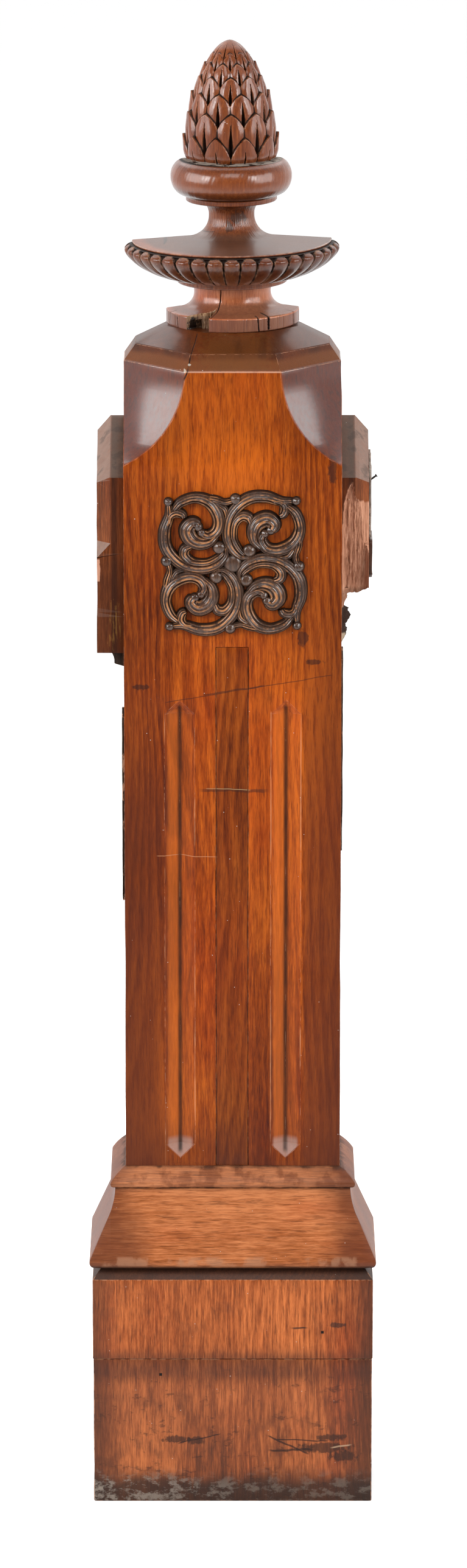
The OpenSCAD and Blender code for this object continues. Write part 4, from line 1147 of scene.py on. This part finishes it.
# Radii and heights in millimetres
DISC_R = 71.6
DISC_H = 15.0
NECK_R = 41.3
FOOT_H = 44.0
COVE_R = 15.5
COVE = (NECK_R + COVE_R, SEAT + DISC_H + 2 + COVE_R)
foot_outline = (
    ladder((0, SEAT), (DISC_R - 0.6, SEAT), 6) + [(DISC_R - 0.6, SEAT), (DISC_R, SEAT + 0.6)]
    + ladder((DISC_R, SEAT + 1.5), (DISC_R, SEAT + DISC_H - 1), 12)
    + [(DISC_R, SEAT + DISC_H - 1), (DISC_R - 1, SEAT + DISC_H)]
    + ladder((DISC_R - 2, SEAT + DISC_H + 0.1), (COVE[0], SEAT + DISC_H + 2), 10)
    + bend(*COVE, COVE_R, 270, 180, 14)
    + ladder((NECK_R, COVE[1] + 1), (NECK_R + 0.8, SEAT + FOOT_H), 8)
    + [(NECK_R + 0.8, SEAT + FOOT_H), (0, SEAT + FOOT_H)])

# Each crack: its angle, how far it leans per millimetre of height, width, depth, and the
# heights above the seat between which it runs. Angles are in degrees, the rest in millimetres.
CRACKS = [(67.0, 0.05, 1.2, 2.2, -1, 16), (57.4, 0.0, 2.2, 4.0, 1, 17),
          (23.0, 0.08, 0.9, 1.5, -1, 16), (145.0, 0.1, 0.9, 1.6, -1, 12),
          (161.0, -0.1, 0.8, 1.2, 2, 16), (111.0, -0.10, 0.9, 2.4, 15, 45)]
# The split in the disc: the angles of its two sides
SPLIT_RIGHT = 111.0
SPLIT_LEFT = 133.6


def broken_r(angle):
    """Radius of the wall that the split left in the disc."""
    return np.interp(angle, [SPLIT_RIGHT, 111.5, 115, 126.5, SPLIT_LEFT],
                     [DISC_R, 46.7, 49.5, 57.2, DISC_R])


def foot_shape(angle, height, radius):
    """The turned foot with its split, the deep hole at the split's left end, and the cracks."""
    low = height - SEAT
    fibres = 0.9 * ripple(angle * 2.3, 1) + 0.5 * ripple(angle * 5.1 + low * 0.12, 3)
    split = (angle > SPLIT_RIGHT) & (angle < SPLIT_LEFT)
    wall = np.where(split, broken_r(angle) + fibres, DISC_R + 9)
    cavity = (angle > 126) & (angle < 133.4 - low * 0.2) & (low > 0.5) & (low < 10 + fibres)
    shaped = np.minimum(radius, np.where(cavity, 44 + 3 * fibres, wall))
    for at, lean, width, depth, start, stop in CRACKS:
        wander = at + lean * low + 0.35 * ripple(low * 0.5, at)
        away = np.abs(np.radians(angle - wander)) * radius
        within = (low > start) * (low < stop)
        shaped = shaped - depth * np.clip(1 - away / (width * 0.6), 0, 1) * within
    knocked = 0.5 * smooth_step(0.2, 1, ripple(angle * 0.21, 5)) * smooth_step(62, 71, radius)
    return shaped - knocked


def foot_torn(angle, height, radius):
    """1 on the raw wood of the split."""
    beside = (angle > SPLIT_RIGHT - 0.2) & (angle < SPLIT_LEFT + 0.2)
    return (beside & (radius > broken_r(angle) - 0.5)).astype(float)


def foot_hollow(angle, height, radius):
    """1 along the cracks, where dirt has gathered."""
    low = height - SEAT
    cracks = sum(np.clip(1 - np.abs(np.radians(angle - at - lean * low)) * radius / width, 0, 1)
                 * (low > start) * (low < stop)
                 for at, lean, width, _, start, stop in CRACKS)
    return np.clip(cracks * 1.3, 0, 1) * (radius > 5)


FOOT_COLUMNS = 440
CARVED_SMOOTH = 50
bm = half_turned(foot_outline, FOOT_COLUMNS)
carve(bm, foot_shape, hollow=foot_hollow, torn=foot_torn)
set_on_cap(bm)
wood = finial_wood("finial_foot_wood", 16.0, FOOT_TONES, varnish=0.75)
fibre = wood.cloud(wood.scaled((700, 700, 30)), 4.0, 0.7)
torn_colour = wood.ramp(fibre, [(0.35, (0.10, 0.04, 0.02)), (0.5, (0.30, 0.16, 0.08)),
                                (0.68, (0.50, 0.36, 0.22))])
torn = wood.attribute("torn")
wood.stain(torn, torn_colour, 0.8)
top = wood.z.rise((SEAT + DISC_H - 1) * MM, (SEAT + DISC_H + 0.6) * MM)
top = top * (1 - wood.z.rise((SEAT + 22) * MM, (SEAT + 29) * MM))
wood.stain(top * 0.6 * (1 - torn), (0.12, 0.065, 0.045), 0.5)
side = 1 - wood.z.rise((SEAT + DISC_H - 2) * MM, (SEAT + DISC_H - 0.6) * MM)
wood.shade(side * (1 - torn * 0.6), 0.46)
wood.stain(side * 0.25, (0.16, 0.10, 0.085))
# Painted shade in the deep hole at the left end of the split
hole = wood.spot(-0.043, (SEAT + 5) * MM, 0.0055, 0.008, 0.6)
wood.stain(hole * torn * 0.95, (0.008, 0.005, 0.004), 0.8)
make_piece(bm, "finial_foot_turning", finish_wood(wood, 0.5), ["finial_foot"],
           smooth=CARVED_SMOOTH)


# ---- Gadrooned dish ----
# The dish is one with the finial. Gadroons swell from under it and end in round heads below
# its rim, and its hollow top sweeps up into a slim neck.
# Radii and heights in millimetres, and the number of gadroons that a full turn would have
DISH_FOOT = SEAT + FOOT_H
FILLET_R = 59.5
DISH_BASE = DISH_FOOT + 6
BELLY_R = 116.4
BELLY_H = 31.5
RIM_R = 107.0
RIM = DISH_BASE + 39.5
UPPER_R = 24.5
NECK_TOP = RIM + 42.7
GADROONS = 39
GADROON_D = 6.0

# The outline of the gadroons: their long undersides and, above the widest point, their heads
under = [(FILLET_R - 2 + (BELLY_R - FILLET_R + 2) * math.cos(t) ** 1.25,
          DISH_BASE - 1 + (BELLY_H + 1) * (1 - math.sin(t) ** 1.25))
         for t in np.linspace(math.pi / 2, 0, 34)]
head = [(BELLY_R - inward, BELLY_H + up) for inward, up in (
    (0.2, 1.0), (0.6, 2.0), (1.2, 3.0), (2.1, 3.9), (3.3, 4.7), (4.8, 5.3), (6.5, 5.7), (8.2, 5.9))]
dish_outline = (
    [(0, DISH_FOOT)] + ladder((FILLET_R - 12, DISH_FOOT), (FILLET_R - 0.5, DISH_FOOT), 4)
    + [(FILLET_R - 0.5, DISH_FOOT), (FILLET_R, DISH_FOOT + 0.6)]
    + ladder((FILLET_R, DISH_FOOT + 1.5), (FILLET_R, DISH_BASE - 0.4), 3)
    + [(FILLET_R, DISH_BASE - 0.4)]
    + under[3:] + [(r, DISH_BASE + z) for r, z in head]
    + [(RIM_R + 0.3, RIM - 1.8), (RIM_R + 0.5, RIM - 0.7), (RIM_R - 0.2, RIM)]
    + ladder((RIM_R - 1.5, RIM + 0.1), (UPPER_R + 22, RIM + 4), 16)
    + bend(UPPER_R + 22, RIM + 26, 22, 270, 180, 16)
    + bend(UPPER_R + 16, RIM + 28, 16, 178, 180 - 66.8, 9) + [(0, NECK_TOP)])


def gadroon_place(angle, height, radius):
    """Where a point lies on its gadroon: 0 in its middle, 1 at its edge all round the head."""
    u = (angle - 90) * GADROONS / 360
    across = 2 * np.abs(u - np.round(u))
    half_width = math.pi * radius / GADROONS
    over_head = (height - (DISH_BASE + BELLY_H - 3.7)) / np.maximum(half_width, 1) * 0.93
    return (across ** 2.4 + np.clip(over_head, 0, 2) ** 2.4) ** (1 / 2.4)


def on_gadroons(height, radius):
    """True on the carved belly, from the fillet to just over the heads."""
    return ((height > DISH_BASE - 0.5) & (height < DISH_BASE + BELLY_H + 5.95)
            & (radius > FILLET_R - 3))


def dish_shape(angle, height, radius):
    """Round lobes with a thin lip beside each, over a stippled ground."""
    edge = gadroon_place(angle, height, radius)
    lobe = np.sqrt(np.clip(1 - (np.minimum(edge, 1) / 1.02) ** 2.1, 0, 1))
    lip = 0.12 * np.exp(-((edge - 0.86) / 0.05) ** 2)
    depth = GADROON_D * smooth_step(DISH_BASE - 1, DISH_BASE + 7, height) + 0.6
    stipple = 0.35 * ripple(angle * 9, 2) * ripple(height * 5, 1) * (edge > 1.02)
    sunk = depth * (1 - lobe - lip) + stipple
    sunk = np.where(height > DISH_BASE + BELLY_H + 4.6, np.minimum(sunk, 2.6), sunk)
    turned = radius - 0.15 * (1 + ripple(angle * 0.3, 1))
    return np.where(on_gadroons(height, radius), radius - sunk, turned)


def dish_hollow(angle, height, radius):
    """1 in the ground between the gadroons, dark with dirt and painted shade."""
    edge = gadroon_place(angle, height, radius)
    return np.where(on_gadroons(height, radius), smooth_step(0.74, 0.98, edge), 0)


def dish_wear(angle, height, radius):
    """1 on the lips of the gadroons and along the rim, where the finish has rubbed off."""
    edge = gadroon_place(angle, height, radius)
    lip = np.exp(-((edge - 0.88) / 0.05) ** 2) * on_gadroons(height, radius)
    rim = np.exp(-((height - RIM + 0.3) / 0.5) ** 2) * (radius > RIM_R - 1)
    return np.clip(lip * 0.9 + rim, 0, 1)


DISH_COLUMNS = 468
bm = half_turned(dish_outline, DISH_COLUMNS)
carve(bm, dish_shape, hollow=dish_hollow, wear=dish_wear)
set_on_cap(bm)
wood = finial_wood("gadrooned_dish_wood", 17.0)
top = wood.z.rise((RIM - 0.6) * MM, (RIM + 0.2) * MM)
top = top * (1 - wood.z.rise((RIM + 6) * MM, (RIM + 16) * MM))
wood.stain(top * 0.75, (0.09, 0.048, 0.033), 0.42)
knots = (wood.spot(0.006, (RIM + 27) * MM, 0.009, 0.007, 0.6)
         + wood.spot(-0.004, (RIM + 17) * MM, 0.004, 0.006, 0.5))
wood.stain(knots.least(1) * 0.75, (0.05, 0.02, 0.012), 0.35, 0.4 * MM)
top_crack = wood.scratch((-0.075, (RIM + 1) * MM), (-0.018, (RIM + 12) * MM), 0.5 * MM)
wood.stain(top_crack * 0.7, DIRT)
lobes = wood.near(wood.z, (DISH_BASE + 20) * MM, 17 * MM, 2 * MM)
wood.shade(lobes, 0.6)
wood.varnish = wood.varnish * (1 - lobes * 0.3)
make_piece(bm, "gadrooned_dish", finish_wood(wood, 0.55), ["finial_dish"],
           smooth=CARVED_SMOOTH)


# ---- Torus and scaled cone ----
# Above the neck come a fillet, a fat torus and a cone carved with rows of overlapping
# scales, each with a slit up its middle that opens to a deep V between the scales below.
FILLET_TOP = NECK_TOP + 6.5
TORUS_R = 65.3
TORUS_H = 39.0
CONE_FOOT = FILLET_TOP + TORUS_H
CONE_H = 127.0
CONE_R = 53.0
TIP = CONE_FOOT + CONE_H
# Degrees from scale to scale, and for each row the height of its tips as a share of the cone's
# and how boldly it is cut. The last row is a smooth dome at the point.
PITCH = 36.0
TIP_SHARES = [0.217, 0.415, 0.575, 0.712, 0.821, 0.904, 1.02]
ROW_SIZES = [1.0, 1.0, 1.0, 0.95, 0.85, 0.7, 0.5]
# How wide a scale is at its foot, 1 just meeting its neighbours
SCALE_WIDTH = 1.05
GROUND_SINK = 1.6
TIP_R = 1.5
CONE_COLUMNS = 300
CONE_LEVELS = 236

TORUS_CORE = 50
torus_outline = (
    [(0, NECK_TOP)] + ladder((28, NECK_TOP), (48.4, NECK_TOP), 6)
    + [(48.4, NECK_TOP), (49, NECK_TOP + 0.6)]
    + ladder((49, NECK_TOP + 1.2), (49.4, FILLET_TOP - 0.3), 4)
    + [(TORUS_CORE + (TORUS_R - TORUS_CORE) * math.cos(t),
        FILLET_TOP + TORUS_H / 2 * (1 + math.sin(t)))
       for t in np.radians(np.linspace(-86, 84, 34))]
    + [(TORUS_CORE, CONE_FOOT), (0, CONE_FOOT)])


def torus_shape(angle, height, radius):
    """Turned true, but for a slight wave left by the tool and by wear."""
    return radius - 0.15 * (1 + ripple(angle * 0.17 + height * 0.05, 4))


def torus_hollow(angle, height, radius):
    """Dirt and painted shade in the corners over and under the torus."""
    above = smooth_step(CONE_FOOT - 2.2, CONE_FOOT - 0.4, height)
    below = smooth_step(FILLET_TOP + 2, FILLET_TOP, height) * (height > FILLET_TOP - 0.5)
    return above + below * 0.8


TORUS_COLUMNS = 180
torus = half_turned(torus_outline, TORUS_COLUMNS)
carve(torus, torus_shape, hollow=torus_hollow)


def cone_r(height):
    """Radius of the cone's outline: nearly upright at its foot, drawn in to a blunt point."""
    t = (height - CONE_FOOT - 0.08 * CONE_H) / (0.92 * CONE_H)
    return CONE_R * np.clip(1 - np.abs(t) ** 1.9 * np.where(t < 0, 9, 1), 0, 1) ** 0.6


def tip_height(row):
    """Height of the tips of a row of scales. Row -1 is hidden below the cone's foot."""
    return CONE_FOOT + CONE_H * (TIP_SHARES[row] if row >= 0 else -0.075)


def scale_sink(angle, height):
    """Depth of the carving below the cone's envelope, taken from the lowest scale that covers
    each point."""
    sink = np.full(angle.shape, GROUND_SINK)
    for row in reversed(range(len(TIP_SHARES))):
        tall = tip_height(row) - tip_height(row - 1)
        t = (tip_height(row) - height) / tall
        turn = PITCH / 2 if row % 2 == 0 else 0.0
        u = (angle - 90 - turn) / PITCH
        nearest = np.round(u)
        lean = 0.05 * ripple(nearest * 2.1 + row * 3.3, 1)
        u = 2 * (u - nearest - lean * np.clip(1 - t, 0, 1))
        across = np.abs(u)
        width = SCALE_WIDTH * np.sin(np.clip(t / 0.8, 0, 1) * math.pi / 2) ** 0.75
        dome = row == len(TIP_SHARES) - 1
        if dome:
            width = np.full(angle.shape, SCALE_WIDTH)
        inside = (t > 0) & (across <= width)
        rel = across / np.maximum(width, 1e-3)
        body = 0.3 + 3.4 * np.clip(t, 0, 1) ** 0.9 + 4.0 * np.clip(t - 1, 0, 1)
        body = body - 0.9 * np.sin(np.pi * np.clip(rel, 0, 1)) * smooth_step(0.2, 0.9, t)
        body = body + 2.2 * np.clip(rel, 0, 1) ** 3 * smooth_step(0.0, 0.5, t)
        if dome:
            body = 0.4 + 2.6 * np.clip(t, 0, 1) ** 2
        slit_w = 0.02 + 0.14 * smooth_step(0.35, 1.2, t)
        slit = np.clip(1 - across / slit_w, 0, 1) * smooth_step(0.33, 0.5, t)
        body = body + slit * (2.4 + 2.2 * np.clip(t, 0, 1.3))
        sink = np.where(inside, body * ROW_SIZES[row], sink)
    return sink


def cone_shape(angle, height, radius):
    """The cone's outline less its carving, with faint marks of the gouge."""
    tool_marks = 0.12 * ripple(angle * 1.1, 2) * ripple(height * 0.4, 3)
    return np.maximum(TIP_R, cone_r(height) - scale_sink(angle, height) - tool_marks)


def around(shape, angle, height, reach):
    """Mean of shape over places reach millimetres away, less its value here."""
    step = np.degrees(reach / np.maximum(cone_r(height), 6))
    ring = [(step, 0), (-step, 0), (0, reach), (0, -reach), (step * 0.7, reach * 0.7),
            (-step * 0.7, reach * 0.7), (step * 0.7, -reach * 0.7), (-step * 0.7, -reach * 0.7)]
    mean = sum(shape(angle + da, height + dz) for da, dz in ring) / len(ring)
    return mean - shape(angle, height)


def cone_hollow(angle, height, radius):
    """Dirt and painted shade in the slits, between the scales and along the cone's foot."""
    deep = -around(scale_sink, angle, height, 1.5)
    deepest = smooth_step(3.6, 6.0, scale_sink(angle, height))
    foot = smooth_step(CONE_FOOT + 1.5, CONE_FOOT + 0.3, height)
    return np.clip(deep / 0.6, 0, 1) + deepest * 0.9 + foot * 0.4


def cone_wear(angle, height, radius):
    """1 on the crests of the scales, which stand above what is round them."""
    return np.clip(around(scale_sink, angle, height, 1.2) / 0.9 - 0.25, 0, 1) * 0.9


# The cone stands 2 mm deep in the torus, and its levels crowd together towards the point
ROOT_DEPTH = 2
climb = 1 - (1 - np.linspace(0, 1, CONE_LEVELS)) ** 1.35
levels = CONE_FOOT - ROOT_DEPTH + (CONE_H + 1.6) * climb
cone_outline = ([(0, CONE_FOOT - ROOT_DEPTH)]
                + [(max(TIP_R, float(cone_r(z))), float(z)) for z in levels] + [(0, TIP)])
cone = half_turned(cone_outline, CONE_COLUMNS)
carve(cone, cone_shape, hollow=cone_hollow, wear=cone_wear)

# Torus and cone are one piece
torus_mesh = bpy.data.meshes.new("torus")
torus.to_mesh(torus_mesh)
torus.free()
cone.from_mesh(torus_mesh)
bpy.data.meshes.remove(torus_mesh)
set_on_cap(cone)
wood = finial_wood("scaled_cone_wood", 18.0)
torus_middle = (FILLET_TOP + TORUS_H / 2) * MM
# Painted light in a band round the middle of the torus
painted_light_band = wood.near(wood.z, torus_middle, 6 * MM, 9 * MM)
wood.stain(painted_light_band * 0.3, (0.42, 0.098, 0.018))
wood.shade(wood.near(wood.z, torus_middle, 19 * MM, 2 * MM), 0.84)
dust_ring = wood.near(wood.z, (CONE_FOOT + 0.2) * MM, 0.5 * MM, 0.8 * MM)
dust_ring = dust_ring * wood.cloud(wood.scaled((90, 90, 400)), 3.0).rise(0.38, 0.5)
wood.stain(dust_ring * 0.75, (0.45, 0.38, 0.32), 0.8)
make_piece(cone, "scaled_cone", finish_wood(wood, 0.45), ["finial_cone"],
           smooth=CARVED_SMOOTH)
